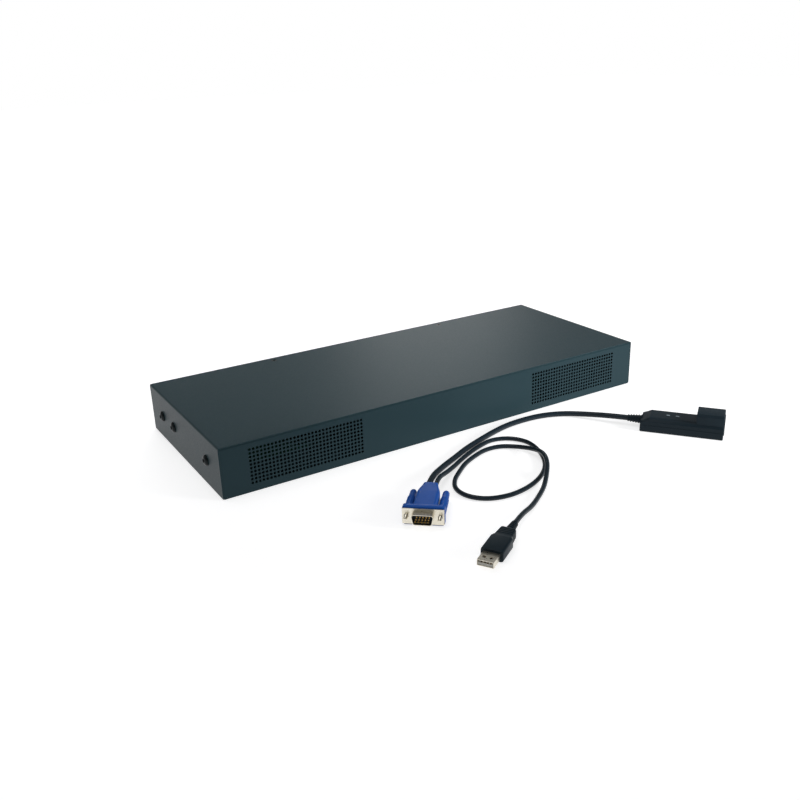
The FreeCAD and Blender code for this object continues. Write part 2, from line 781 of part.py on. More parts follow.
def reset_parts():
    """The reset button, the switch that it presses and the two lamps beside it."""
    level = f"{BOARD_TOP} + plunger_level"
    cap_length = "button_stand_out + sheet + 2"
    cap = rod("button_radius", cap_length, (RESET_CENTRE, f"{REAR} + button_stand_out - ({cap_length})",
                                           level), "Y")
    plunger_start = f"{REAR} + button_stand_out - ({cap_length}) - plunger_length"
    plunger = rod("plunger_radius", "plunger_length", (RESET_CENTRE, plunger_start, level), "Y")
    sub_part("reset_button", fuse(cap, plunger))
    tact_front = f"{REAR} + button_stand_out - ({cap_length}) - button_travel - 0.4"
    housing = centred("tact_width", "tact_depth", "tact_width + 1.5", RESET_CENTRE,
                      f"{tact_front} - tact_depth", BOARD_TOP)
    well = rod("plunger_radius + plunger_slack", "tact_depth - 1", (RESET_CENTRE,
               f"{tact_front} - tact_depth + 1", level), "Y")
    sub_part("reset_switch", cut(housing, well))
    lamps = []
    for i in range(2):
        across = f"{LAMP_FIRST} + {i}*lamp_pitch"
        foot = centred("lamp_foot", "lamp_foot", "lamp_foot_height", across,
                       f"{REAR_INNER} - 1 - lamp_foot", BOARD_TOP)
        lens = peg("lamp_radius", "sheet + 1.5", (across, f"{REAR_INNER} - 1", level), "Y")
        lamps.append(fuse(foot, lens))
    sub_part("status_lamps", group(*lamps))


def reset_cutouts():
    level = f"{BOARD_TOP} + plunger_level"
    button = rod("button_radius + button_slack", "3*sheet", (RESET_CENTRE, f"{REAR} - 2*sheet", level), "Y")
    lamps = [peg("lamp_radius + lap_gap", "3*sheet", (f"{LAMP_FIRST} + {i}*lamp_pitch", f"{REAR} - 2*sheet",
                                                      level), "Y") for i in range(2)]
    return [button] + lamps


def power_inlet():
    """Mains inlet: housing with an open mouth, three blades and two screws."""
    flange = centred("inlet_flange_width", "power_flange", "inlet_flange_height", INLET_CENTRE, REAR,
                     "power_level - inlet_flange_height/2")
    body = centred("inlet_body_width", "power_body_depth", "inlet_body_height", INLET_CENTRE,
                   f"{REAR} - power_body_depth", "power_level - inlet_body_height/2")
    mouth_start = f"{REAR} + power_flange - inlet_mouth_depth"
    half = "inlet_mouth_width/2"
    mouth = profile("XZ_Plane", [
        (f"-{half}", "-inlet_mouth_height/2"), (f"-{half}", "inlet_mouth_height/2 - inlet_corner"),
        (f"-{half} + inlet_corner", "inlet_mouth_height/2"),
        (f"{half} - inlet_corner", "inlet_mouth_height/2"),
        (half, "inlet_mouth_height/2 - inlet_corner"), (half, "-inlet_mouth_height/2"),
    ], "2*inlet_mouth_depth")
    place(mouth, (INLET_CENTRE, f"{mouth_start} + inlet_mouth_depth", "power_level"))
    blade_places = [(f"{INLET_CENTRE} + {i}*inlet_pin_pitch",
                     f"power_level + inlet_pin_rise*(1 - {abs(i)}*2)") for i in (-1, 0, 1)]
    terminal_start = f"{REAR} - power_body_depth - terminal_length"
    slots = []
    blades = []
    for across, middle in blade_places:
        low = f"{middle} - inlet_pin_height/2"
        inner_end = f"{mouth_start} + inlet_pin_length"
        blades.append(centred("inlet_pin_width", f"{inner_end} - ({terminal_start})", "inlet_pin_height",
                              across, terminal_start, low))
        slots.append(centred("inlet_pin_width", "2*inlet_mouth_depth", "inlet_pin_height", across,
                             f"{REAR} - power_body_depth - 1", low))
    sub_part("power_inlet", cut(fuse(flange, body), mouth, *slots))
    sub_part("inlet_blades", group(*blades))
    screws = [peg("screw_head_radius", "screw_head_height",
                  (f"{INLET_CENTRE} + {side}*inlet_screw_spacing/2", f"{REAR} + power_flange", "power_level"),
                  "Y") for side in (-1, 1)]
    sub_part("inlet_screws", group(*screws))


def rocker_form():
    """The rocker's side view in Y and Z about its pivot: a shallow V outside, a heel inside."""
    return [
        ("-rocker_heel", "-rocker_half_height + rocker_slant"), ("0", "-rocker_half_height"),
        ("rocker_tip", "-rocker_half_height"), ("rocker_valley", "0"), ("rocker_tip", "rocker_half_height"),
        ("0", "rocker_half_height"), ("-rocker_heel", "rocker_half_height - rocker_slant"),
    ]


def power_switch():
    """Rocker switch: a bezel with a well, the rocker on its pivot and two terminals."""
    pivot = (ROCKER_CENTRE, f"{REAR} + power_flange - rocker_pivot_depth", "power_level")
    bezel = centred("rocker_bezel_width", "power_flange", "rocker_bezel_height", ROCKER_CENTRE, REAR,
                    "power_level - rocker_bezel_height/2")
    body = centred("rocker_body_width", "power_body_depth", "rocker_body_height", ROCKER_CENTRE,
                   f"{REAR} - power_body_depth", "power_level - rocker_body_height/2")
    well = centred("rocker_well_width", "rocker_well_depth + 1", "rocker_well_height", ROCKER_CENTRE,
                   f"{REAR} + power_flange - rocker_well_depth", "power_level - rocker_well_height/2")
    pivot_hole = rod("rocker_pivot_radius + rocker_pivot_slack", "rocker_body_width - 0.6",
                     (f"{ROCKER_CENTRE} - (rocker_body_width - 0.6)/2", pivot[1], pivot[2]), "X")
    terminals = [centred(4.8, "terminal_length", 0.8, ROCKER_CENTRE,
                         f"{REAR} - power_body_depth - terminal_length", f"power_level + {rise}")
                 for rise in (-5.4, 4.6)]
    sub_part("power_switch", cut(fuse(bezel, body, *terminals), well, pivot_hole))
    wing = profile("YZ_Plane", rocker_form(), "rocker_width")
    pin = rod("rocker_pivot_radius", "rocker_body_width - 0.9",
              ("-(rocker_body_width - 0.9)/2", "0", "0"), "X")
    rocker = fuse(wing, pin)
    rocker.Placement = Placement(Vector(), Rotation(Vector(1, 0, 0), -size("rocker_tilt")))
    sub_part("power_rocker", place(rocker, pivot))


def rear_panel():
    """Rear wall with the openings of all its connectors."""
    body = panel_body(1)
    low_y = f"{REAR} - 2*sheet"
    usb = centred("usb_socket_width + 2*cutout_slack", "3*sheet", "usb_socket_height + 2*cutout_slack",
                  USB_CENTRE, low_y, f"{BOARD_TOP} - cutout_slack")
    inlet = centred("inlet_body_width + 2*lap_gap", "3*sheet", "inlet_body_height + 2*lap_gap",
                    INLET_CENTRE, low_y, "power_level - inlet_body_height/2 - lap_gap")
    switch = centred("rocker_body_width + 2*lap_gap", "3*sheet", "rocker_body_height + 2*lap_gap",
                     ROCKER_CENTRE, low_y, "power_level - rocker_body_height/2 - lap_gap")
    video = turned_to_rear(video_shell_form("(socket_shrink - 2*cutout_slack)", "4*sheet"), REAR_INNER)
    tools = [jack_cutout(SERVER_CENTRE, "server_ports"), jack_cutout(SERVICE_CENTRE, "service_ports"),
             usb, inlet, switch, video] + reset_cutouts()
    sub_part("rear_panel", cut(body, *tools, *corner_notches(1)))


# ---- power supply and fan ------------------------------------------------------------------

def power_supply():
    """The supply's board on its posts, with the parts that stand on it and its two harnesses."""
    width, depth = f"{SUPPLY_RIGHT} - {SUPPLY_LEFT}", f"{SUPPLY_REAR} - {SUPPLY_FRONT}"
    sub_part("supply_board", block((width, depth, "board_thickness"),
                                   (SUPPLY_LEFT, SUPPLY_FRONT, "board_level")))
    posts = [prism("standoff_radius", "board_level - sheet", (x, y, "sheet"))
             for x in (f"{SUPPLY_LEFT} + standoff_inset", f"{SUPPLY_RIGHT} - standoff_inset")
             for y in (f"{SUPPLY_FRONT} + standoff_inset", f"{SUPPLY_REAR} - standoff_inset")]
    sub_part("supply_standoffs", group(*posts))
    core = centred("core_length", "core_depth", "core_height", SUPPLY_MIDDLE,
                   f"{SUPPLY_HALFWAY} - core_depth/2", f"{BOARD_TOP} + core_lift")
    winding = centred("core_length - 2*winding_rim", "core_depth + 2*winding_rim",
                      "core_height + 2*core_lift", SUPPLY_MIDDLE,
                      f"{SUPPLY_HALFWAY} - core_depth/2 - winding_rim", BOARD_TOP)
    sub_part("supply_transformer", fuse(core, winding))
    cans = [peg("can_radius", f"case_height - sheet - ({BOARD_TOP}) - can_gap",
                (f"{SUPPLY_MIDDLE} + can_across", f"{SUPPLY_HALFWAY} + can_along", BOARD_TOP))]
    cans += [peg("small_can_radius", "small_can_height",
                 (f"{SUPPLY_MIDDLE} + small_can_across + {i}*small_can_pitch",
                  f"{SUPPLY_HALFWAY} + small_can_along", BOARD_TOP)) for i in range(2)]
    sub_part("supply_capacitors", group(*cans))
    sinks = []
    for across, along in (("core_length/2", "-core_depth/2 - winding_rim - 2*sink_reach"),
                          ("0", "core_depth/2 + 2*winding_rim")):
        fins = profile("XY_Plane", comb(5, "sink_pitch", "sink_fin", "sink_foot", "sink_reach"),
                       "sink_height")
        sinks.append(place(fins, (f"{SUPPLY_MIDDLE} + {across}", f"{SUPPLY_HALFWAY} + {along}",
                                  f"{BOARD_TOP} + sink_height/2")))
    sub_part("supply_heatsinks", group(*sinks))
    sub_part("supply_filter", block(("filter_width", "filter_depth", "filter_width"),
                                    (f"{SUPPLY_RIGHT} - filter_width - filter_inset",
                                     f"{SUPPLY_HALFWAY} - filter_depth + filter_inset", BOARD_TOP)))
    plug_left = f"{SUPPLY_LEFT} + plug_inset"
    mains_plug = f"{SUPPLY_REAR} - header_width - plug_inset"
    sub_part("supply_plugs", group(
        block(("header_width", "header_depth", "header_width"), (plug_left, "-header_depth/2", BOARD_TOP)),
        block(("2*header_width", "header_width", "header_width"), (ROCKER_CENTRE, mains_plug, BOARD_TOP))))
    half = f"({plug_left} - {BOARD_RIGHT} + 2*header_width + harness_foot)/2"
    arch = profile("XZ_Plane", [
        (f"-{half}", "0"), (f"-{half}", "harness_lift"), (half, "harness_lift"), (half, "0"),
        (f"{half} - harness_foot", "0"), (f"{half} - harness_foot", "harness_lift - harness_thickness"),
        (f"-{half} + harness_foot", "harness_lift - harness_thickness"), (f"-{half} + harness_foot", "0"),
    ], "harness_width")
    middle = f"({plug_left} + {BOARD_RIGHT} - 2*header_width + harness_foot)/2 + 1"
    sub_part("dc_harness", place(arch, (middle, "0", f"{BOARD_TOP} + header_width")))
    terminal_end = f"{REAR} - power_body_depth - terminal_length - bundle_thickness"
    level = "power_level - bundle_thickness"
    bundle = block((f"{INLET_CENTRE} - {ROCKER_CENTRE} + 2*header_width", "bundle_thickness",
                    "2*bundle_thickness"), (f"{ROCKER_CENTRE} - 3", terminal_end, level))
    down = block(("harness_foot", f"{terminal_end} - ({mains_plug})", "bundle_thickness"),
                 (f"{ROCKER_CENTRE} + 1", mains_plug, level))
    drop = block(("harness_foot", "bundle_thickness", f"{level} - ({BOARD_TOP} + header_width)"),
                 (f"{ROCKER_CENTRE} + 1", mains_plug, f"{BOARD_TOP} + header_width"))
    sub_part("ac_harness", fuse(bundle, down, drop))


def fan():
    """Case fan behind the right vent field: frame with three struts, rotor and bracket."""
    middle_z = f"sheet + {FAN_SIZE}/2"
    centre = VENT_CENTRE
    frame = centred(FAN_SIZE, "fan_depth", FAN_SIZE, centre, FAN_FRONT, "sheet")
    bore = rod(FAN_BORE, "fan_depth + 2", (centre, f"{FAN_FRONT} - 1", middle_z), "Y")
    strut_start = f"{FAN_FRONT} + fan_depth - fan_strut"
    hub = rod("fan_hub", "fan_strut", (centre, strut_start, middle_z), "Y")
    struts = []
    for turn in (90, 210, 330):
        strut = block((f"{FAN_BORE} + 0.4", "fan_strut", "fan_strut"), ("0", "0", "0"))
        strut.Placement = Placement(Vector(), Rotation(Vector(0, 1, 0), turn))
        struts.append(place(strut, (centre, strut_start, middle_z)))
    bearing = rod("fan_shaft_radius + fan_shaft_slack", "fan_depth + 2",
                  (centre, f"{FAN_FRONT} - 1", middle_z), "Y")
    sub_part("fan_frame", cut(fuse(cut(frame, bore), hub, *struts), bearing))
    barrel = rod("fan_hub - 0.5", "fan_depth - fan_strut - 1.4", ("0", "0.6", "0"), "Y")
    shaft = rod("fan_shaft_radius", "fan_strut + 1.2", ("0", "fan_depth - fan_strut - 1.2", "0"), "Y")
    pitch = Rotation(Vector(1, 0, 0), 90 - size("fan_blade_pitch"))
    root = Vector(size("fan_hub") - 2, -size("fan_blade_thickness") / 2, -size("fan_blade_chord") / 2)
    middle = Vector(0, size("fan_depth") / 2 - 1, 0)
    blades = []
    for i in range(int(size("fan_blades"))):
        blade = doc.addObject("Part::Box", "blade")
        bind(blade, Length=f"{FAN_BORE} - fan_blade_gap - fan_hub + 2", Width="fan_blade_thickness",
             Height="fan_blade_chord")
        around = Rotation(Vector(0, 1, 0), 360 * i / size("fan_blades"))
        blade.Placement = Placement(middle, around) * Placement(Vector(), pitch) * Placement(root, Rotation())
        blades.append(blade)
    rotor = fuse(barrel, shaft, *blades)
    sub_part("fan_rotor", place(rotor, (centre, FAN_FRONT, middle_z)))
    plate_y = f"{FAN_FRONT} + fan_depth"
    plate = centred(FAN_SIZE, "sheet", f"{FAN_SIZE} - 2", centre, plate_y, "sheet")
    foot = centred(FAN_SIZE, "bracket_foot", "sheet", centre, plate_y, "sheet")
    opening = centred(f"2*{FAN_BORE} - 3", "3*sheet", f"2*{FAN_BORE} - 3", centre, f"{plate_y} - 1",
                      f"{middle_z} - {FAN_BORE} + 1.5")
    sub_part("fan_bracket", cut(fuse(plate, foot), opening))


# ---- adapter -------------------------------------------------------------------------------

def stand(item, plug):
    """Lay a piece of a plug, drawn along +X, at the plug's place on the table."""
    laid = group(item)
    laid.Placement = Placement(Vector(), Rotation(Vector(0, 0, 1), size(plug + "_turn")))
    return place(laid, (plug + "_across", plug + "_along", "0"))


def video_plug():
    """Video plug: hood, plate with its D shell, insert with pins and two thumbscrews."""
    level = "rim_height/2"
    rim_start = "-(plate_thickness + rim_depth)"
    rim = block(("rim_depth", "rim_width", "rim_height"), (rim_start, "-rim_width/2", "0"))
    hood = profile("XY_Plane", [
        (rim_start, "hood_width/2"), (f"{rim_start} - hood_length", "hood_width/2"),
        (f"{rim_start} - hood_length - neck_length", "neck_width/2"),
        (f"{rim_start} - hood_length - neck_length", "-neck_width/2"),
        (f"{rim_start} - hood_length", "-hood_width/2"), (rim_start, "-hood_width/2"),
    ], "hood_height")
    half = size("hood_height") / 2
    rim_end = -size("plate_thickness") - size("rim_depth")
    neck_end = rim_end - size("hood_length") - size("neck_length")
    round_edges(hood, "hood_round", lambda middle, box: near(abs(middle.z), half)
                and not near(middle.x, rim_end) and not near(middle.x, neck_end))
    place(hood, ("0", "0", level))
    holes = [rod("jackscrew_radius + thumb_slack", "rim_depth + 2",
                 (f"{rim_start} - 1", f"{side}*jackscrew_spacing/2", level), "X") for side in (-1, 1)]
    sub_part("video_plug_hood", stand(cut(fuse(rim, hood), *holes), "video_plug"))
    plate = block(("plate_thickness", "plate_width", "plate_height"),
                  ("-plate_thickness", "-plate_width/2", f"{level} - plate_height/2"))
    plate_holes = [rod("jackscrew_radius + 0.3", "plate_thickness + 2",
                       ("-plate_thickness - 1", f"{side}*jackscrew_spacing/2", level), "X")
                   for side in (-1, 1)]
    outer = place(video_shell_form("0", "shell_stand_out"), ("shell_stand_out/2", "0", level))
    inner = place(video_shell_form("(2*shell_wall)", "shell_stand_out + 2"),
                  ("shell_stand_out/2", "0", level))
    shell = cut(fuse(plate, outer), cut(inner, block((20, 40, 20), ("-20", "-20", "0"))), *plate_holes)
    sub_part("video_plug_shell", stand(shell, "video_plug"))
    insert = place(video_shell_form("(2*shell_wall + 2*lap_gap)", "insert_depth"),
                   ("insert_depth/2", "0", level))
    sub_part("video_plug_insert", stand(insert, "video_plug"))
    pins = []
    for row in (-1, 0, 1):
        for column in (-2, -1, 0, 1, 2):
            pins.append(block(("pin_length - insert_depth", "pin_width", "pin_width"),
                              ("insert_depth", f"({column} - {row}/4)*pin_pitch - pin_width/2",
                               f"{level} - {row}*pin_row_pitch - pin_width/2")))
    sub_part("video_plug_pins", stand(group(*pins), "video_plug"))
    for side, name in ((-1, "thumbscrew_main_side"), (1, "thumbscrew_usb_side")):
        across = f"{side}*jackscrew_spacing/2"
        knob_end = f"{rim_start} - thumb_gap"
        knob = rod("thumb_radius", "thumb_length", (f"{knob_end} - thumb_length", across, level), "X")
        shank = rod("jackscrew_radius", "thumb_gap + rim_depth + plate_thickness + thumb_tip",
                    (knob_end, across, level), "X")
        slot = block(("thumb_slot_depth", "2*thumb_radius + 2", "thumb_slot_width"),
                     (f"{knob_end} - thumb_length", f"{across} - thumb_radius - 1",
                      f"{level} - thumb_slot_width/2"))
        sub_part(name, stand(cut(fuse(knob, shank), slot), "video_plug"))


def usb_plug():
    """USB plug: stepped grip with its relief, metal shell with windows, and the tongue."""
    level = "grip_height/2"
    rear = "-(grip_length + grip_rear_length)"
    grip = profile("XY_Plane", [
        ("0", "grip_width/2"), ("-grip_length", "grip_width/2"),
        ("-grip_length - 2", "grip_rear_width/2"), (f"{rear}", "grip_rear_width/2 - 1"),
        (f"{rear}", "-grip_rear_width/2 + 1"), ("-grip_length - 2", "-grip_rear_width/2"),
        ("-grip_length", "-grip_width/2"), ("0", "-grip_width/2"),
    ], "grip_height")
    half = size("grip_height") / 2
    round_edges(grip, "grip_round", lambda middle, box: near(abs(middle.z), half)
                and not near(middle.x, 0) and not near(middle.x, -size("grip_length")
                                                       - size("grip_rear_length")))
    place(grip, ("0", "0", level))
    relief = taper("relief_narrow", "relief_wide", "relief_length",
                   (f"{rear} - relief_length", "0", level), "X")
    sub_part("usb_plug_grip", stand(fuse(grip, relief), "usb_plug"))
    shell = block(("usb_shell_length", "usb_shell_width", "usb_shell_height"),
                  ("0", "-usb_shell_width/2", f"{level} - usb_shell_height/2"))
    inside = block(("usb_shell_length + 2", "usb_shell_width - 2*usb_shell_wall",
                    "usb_shell_height - 2*usb_shell_wall"),
                   ("-1", "-usb_shell_width/2 + usb_shell_wall",
                    f"{level} - usb_shell_height/2 + usb_shell_wall"))
    windows = [block(("usb_window", "usb_window", "usb_shell_height + 2"),
                     ("usb_shell_length/2", f"{side}*usb_window_across - usb_window/2",
                      f"{level} - usb_shell_height/2 - 1")) for side in (-1, 1)]
    sub_part("usb_plug_shell", stand(cut(shell, inside, *windows), "usb_plug"))
    tongue = block(("usb_shell_length - 0.6", "tongue_width", "tongue_thickness"),
                   ("0", "-tongue_width/2", f"{level} - usb_shell_height/2 + usb_shell_wall"))
    sub_part("usb_plug_tongue", stand(tongue, "usb_plug"))


def dongle():
    """The dongle: two shells, the board between them, its jack, two lamps and the cable relief."""
    inner_half = "dongle_width/2 - dongle_wall"
    length = "dongle_length + tower_length"
    window_low = "dongle_wall + board_thickness"
    window = block(("dongle_wall + 2", "jack_pitch + 2*lap_gap", "jack_height + 2*lap_gap"),
                   (f"{length} - dongle_wall - 1", "-jack_pitch/2 - lap_gap", f"{window_low} - lap_gap"))
    relief_hole = peg("dongle_relief_neck + lap_gap", "dongle_wall + 2", ("-1", "0", "dongle_split"), "X")
    tray = block((length, "dongle_width", "dongle_split"), ("0", "-dongle_width/2", "0"))
    tray_inside = block((f"{length} - 2*dongle_wall", f"2*({inner_half})", "dongle_split"),
                        ("dongle_wall", f"-({inner_half})", "dongle_wall"))
    sub_part("dongle_base", stand(cut(tray, tray_inside, window, relief_hole), "dongle"))
    half = "dongle_width/2"
    lid = profile("YZ_Plane", [
        (f"-{half}", "dongle_split"), (f"-{half}", "dongle_height - dongle_bevel"),
        (f"-{half} + dongle_bevel", "dongle_height"), (f"{half} - dongle_bevel", "dongle_height"),
        (half, "dongle_height - dongle_bevel"), (half, "dongle_split"),
    ], length)
    place(lid, (f"({length})/2", "0", "0"))
    tower = profile("XY_Plane", [
        ("dongle_length", "-tower_width/2"), (length, "-tower_width/2"),
        (length, "tower_width/2"), ("dongle_length", "tower_width/2"),
    ], "tower_height - dongle_split")
    tower_half = (size("tower_height") - size("dongle_split")) / 2
    round_edges(tower, "dongle_wall", lambda middle, box: near(middle.z, tower_half))
    place(tower, ("0", "0", "(tower_height + dongle_split)/2"))
    lid_inside = block((f"{length} - 2*dongle_wall", "2*(dongle_width/2 - dongle_bevel + 0.5)",
                        "dongle_height - dongle_split - dongle_wall"),
                       ("dongle_wall", "-(dongle_width/2 - dongle_bevel + 0.5)", "dongle_split"))
    tower_inside = block(("tower_length - dongle_wall", "tower_width - 2*dongle_wall",
                          "tower_height - dongle_split - dongle_wall"),
                         ("dongle_length", "-tower_width/2 + dongle_wall", "dongle_split"))
    lamp_places = [f"dongle_length*{share}" for share in (0.45, 0.62)]
    lamp_holes = [block(("dongle_lamp_width", "dongle_lamp_depth", "dongle_height"),
                        (across, "-dongle_lamp_depth/2", "dongle_split")) for across in lamp_places]
    sub_part("dongle_lid", stand(cut(fuse(lid, tower), lid_inside, tower_inside, window, relief_hole,
                                     *lamp_holes), "dongle"))
    sub_part("dongle_board", stand(block((f"{length} - 2*dongle_wall - 2", "dongle_width - 2*dongle_wall - 1",
                                          "board_thickness"),
                                         ("dongle_wall + 1", "-(dongle_width - 2*dongle_wall - 1)/2",
                                          "dongle_wall")), "dongle"))
    lamps = [block(("dongle_lamp_width - 2*lap_gap", "dongle_lamp_depth - 2*lap_gap",
                    f"dongle_height - ({window_low}) + lap_gap"),
                   (f"{across} + lap_gap", "-dongle_lamp_depth/2 + lap_gap", window_low))
             for across in lamp_places]
    sub_part("dongle_lamps", stand(group(*lamps), "dongle"))
    housing = block(("tower_length - dongle_wall", "jack_pitch", "jack_height"),
                    ("dongle_length + dongle_wall + jack_stand_out", "-jack_pitch/2", window_low))
    mouth_start = f"{length} + jack_stand_out - jack_mouth_depth"
    key = block(("jack_mouth_depth + 1", "jack_key_width", "jack_key_height + 0.5"),
                (mouth_start, "-jack_key_width/2", f"{window_low} + jack_floor"))
    mouth = block(("jack_mouth_depth + 1", "jack_mouth_width", "jack_mouth_height"),
                  (mouth_start, "-jack_mouth_width/2", f"{window_low} + jack_floor + jack_key_height"))
    sub_part("dongle_jack", stand(cut(housing, key, mouth), "dongle"))
    relief = fuse(taper("dongle_relief_neck", "dongle_relief_wide", "dongle_relief_length",
                        ("-dongle_relief_length", "0", "dongle_split"), "X"),
                  peg("dongle_relief_neck", "dongle_wall + 1", ("0", "0", "dongle_split"), "X"))
    sub_part("dongle_relief", stand(relief, "dongle"))


def on_table(plug, forward, sideways, level):
    """A point of a plug's own frame, as it lies on the table."""
    turn = math.radians(size(plug + "_turn"))
    return Vector(size(plug + "_across") + forward * math.cos(turn) - sideways * math.sin(turn),
                  size(plug + "_along") + forward * math.sin(turn) + sideways * math.cos(turn), level)


def cable(name, radius, points):
    """A cord with flat sides: straight runs, and each bend in two mitred steps along its tangent arc."""
    corners = [points[0]]
    for before, corner, after in zip(points, points[1:], points[2:]):
        back, ahead = (before - corner), (after - corner)
        reach = 0.45 * min(back.Length, ahead.Length)
        turn = math.pi - back.getAngle(ahead)
        start = corner + back.normalize() * reach
        end = corner + ahead.normalize() * reach
        middle = (start + end) / 2
        sagitta = reach / math.tan(turn / 2) * (1 - math.cos(turn / 2))
        corners += [start, middle + (corner - middle).normalize() * sagitta, end]
    corners.append(points[-1])
    path = Part.makePolygon(corners)
    ahead = (points[1] - points[0]).normalize()
    across = Vector(-ahead.y, ahead.x, 0).normalize()
    upwards = ahead.cross(across)
    turns = [2 * math.pi * (i + 0.5) / CORD_FLATS for i in range(CORD_FLATS + 1)]
    ring = Part.makePolygon([points[0] + (across * math.cos(turn) + upwards * math.sin(turn)) * radius
                             for turn in turns])
    item = doc.addObject("Part::Feature", name)
    item.Shape = path.makePipeShell([ring], True, False, 1)
    print(name, "length", round(path.Length, 1))
    sub_part(name, item)


def cables():
    """The cable to the dongle and the cable to the USB plug, both from the video plug's neck."""
    lead = size("cable_lead")
    neck = -(size("plate_thickness") + size("rim_depth") + size("hood_length") + size("neck_length"))
    neck_level = size("rim_height") / 2
    side = size("cable_side")
    radius = size("main_cable_radius")
    relief = -size("dongle_relief_length")
    dongle_level = size("dongle_split")
    points = [on_table("dongle", relief, 0, dongle_level),
              on_table("dongle", relief - lead, 0, dongle_level)]
    points += [Vector(x, y, radius + lift) for x, y, lift in MAIN_ROUTE]
    points += [on_table("video_plug", neck - lead, -side, neck_level),
               on_table("video_plug", neck, -side, neck_level)]
    cable("main_cable", radius, points)
    radius = size("usb_cable_radius")
    grip_end = -(size("grip_length") + size("grip_rear_length") + size("relief_length"))
    grip_level = size("grip_height") / 2
    points = [on_table("video_plug", neck, side, neck_level),
              on_table("video_plug", neck - lead, side, neck_level)]
    points += [Vector(x, y, radius + lift) for x, y, lift in USB_ROUTE]
    points += [on_table("usb_plug", grip_end - lead, 0, grip_level),
               on_table("usb_plug", grip_end, 0, grip_level)]
    cable("usb_cable", radius, points)


# ---- the whole object ----------------------------------------------------------------------

for make in (top_cover, base_tray, front_panel, rear_panel, side_screws, cover_screws, main_board,
             board_parts, usb_socket, video_socket, reset_parts, power_inlet, power_switch,
             power_supply, fan, video_plug, usb_plug, dongle, cables):
    make()
jack_block("server_jacks", SERVER_CENTRE, "server_ports")
jack_block("service_jacks", SERVICE_CENTRE, "service_ports")

doc.recompute()
for item in doc.Objects:
    if {"Invalid", "Error"} & set(item.State):
        raise RuntimeError(f"{item.Label} ({item.Name}) failed: {item.State}")
os.makedirs("parts", exist_ok=True)
for item in pieces:
    shape = item.Shape
    if shape.isNull() or not shape.isValid():
        raise RuntimeError(f"{item.Label} has no valid shape")
    shape.exportStep(f"parts/{item.Label}.step")
    print(item.Label, len(shape.Solids), round(shape.Volume, 1), shape.BoundBox)
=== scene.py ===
import json
import math
import bpy
import numpy as np
from mathutils import Matrix, Vector

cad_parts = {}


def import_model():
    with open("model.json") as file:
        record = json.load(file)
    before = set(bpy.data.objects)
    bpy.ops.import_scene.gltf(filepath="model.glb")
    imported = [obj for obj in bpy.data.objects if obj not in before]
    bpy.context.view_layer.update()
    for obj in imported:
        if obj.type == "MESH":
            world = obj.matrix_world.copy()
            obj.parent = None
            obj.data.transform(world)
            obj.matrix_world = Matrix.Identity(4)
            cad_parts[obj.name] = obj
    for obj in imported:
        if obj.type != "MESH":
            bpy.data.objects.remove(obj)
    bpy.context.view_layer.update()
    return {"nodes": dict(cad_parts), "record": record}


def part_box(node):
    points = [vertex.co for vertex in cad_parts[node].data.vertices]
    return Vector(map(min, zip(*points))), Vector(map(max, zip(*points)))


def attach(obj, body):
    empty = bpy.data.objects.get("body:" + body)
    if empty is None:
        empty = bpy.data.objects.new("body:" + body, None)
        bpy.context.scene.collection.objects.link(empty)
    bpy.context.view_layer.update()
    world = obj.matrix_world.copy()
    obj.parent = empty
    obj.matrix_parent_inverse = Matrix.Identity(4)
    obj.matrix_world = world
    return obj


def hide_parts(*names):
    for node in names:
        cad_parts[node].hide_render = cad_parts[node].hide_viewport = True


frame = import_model()
nodes = frame["nodes"]
record = frame["record"]
MM = 0.001


# ---- places taken from the frame -----------------------------------------------------------

def box(node):
    """Lowest and highest corner of a node at rest, as arrays in metres."""
    low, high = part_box(node)
    return np.array(low), np.array(high)


def mount(name):
    """Point and direction of one of the record's mounts."""
    found = next(item for item in record["mounts"] if item["name"] == name)
    return np.array(found["pos_m"]), np.array(found["axis"])


class Lying:
    """The frame of a plug on the table: x forward out of its mouth, y sideways, z up."""

    def __init__(self, name, reach):
        point, self.forward = mount(name)
        self.sideways = np.array([-self.forward[1], self.forward[0], 0.0])
        self.origin = point - self.forward * reach * MM
        self.origin[2] = 0.0

    def __call__(self, points):
        """Millimetres in the plug's frame to metres in the row frame."""
        points = np.asarray(points, float)
        x, y, z = (points[..., k, None] * MM for k in range(3))
        return self.origin + x * self.forward + y * self.sideways + z * np.array([0, 0, 1.0])


video_plug = Lying("video_plug", 5.8)
usb_plug = Lying("usb_plug", 12.0)
dongle = Lying("dongle_port", 70.5)


# ---- camera --------------------------------------------------------------------------------

AZIMUTH, ELEVATION, ROLL = (math.radians(angle) for angle in (-31.25, 21.53, -1.82))
DISTANCE, ASIDE, RAISED = 0.8587, 0.0029, 0.00934
LENS, SENSOR = 39.86, 36
SHIFT_X, SHIFT_Y = -0.006, -0.0065


def camera():
    """A studio camera low at the front left corner, looking slightly down along the front."""
    level = math.cos(ELEVATION)
    back = Vector((math.sin(AZIMUTH) * level, -math.cos(AZIMUTH) * level, math.sin(ELEVATION)))
    right = (-back).cross(Vector((0, 0, 1))).normalized()
    up = right.cross(-back)
    place = back * DISTANCE + right * ASIDE + up * RAISED
    x_axis = right * math.cos(ROLL) + up * math.sin(ROLL)
    y_axis = up * math.cos(ROLL) - right * math.sin(ROLL)
    data = bpy.data.cameras.new("studio_camera")
    data.lens = LENS
    data.sensor_width = SENSOR
    data.shift_x, data.shift_y = SHIFT_X, SHIFT_Y
    item = bpy.data.objects.new("studio_camera", data)
    turn = Matrix((x_axis, y_axis, back)).transposed().to_4x4()
    item.matrix_world = Matrix.Translation(place) @ turn
    bpy.context.collection.objects.link(item)
    bpy.context.scene.camera = item


# ---- materials -----------------------------------------------------------------------------

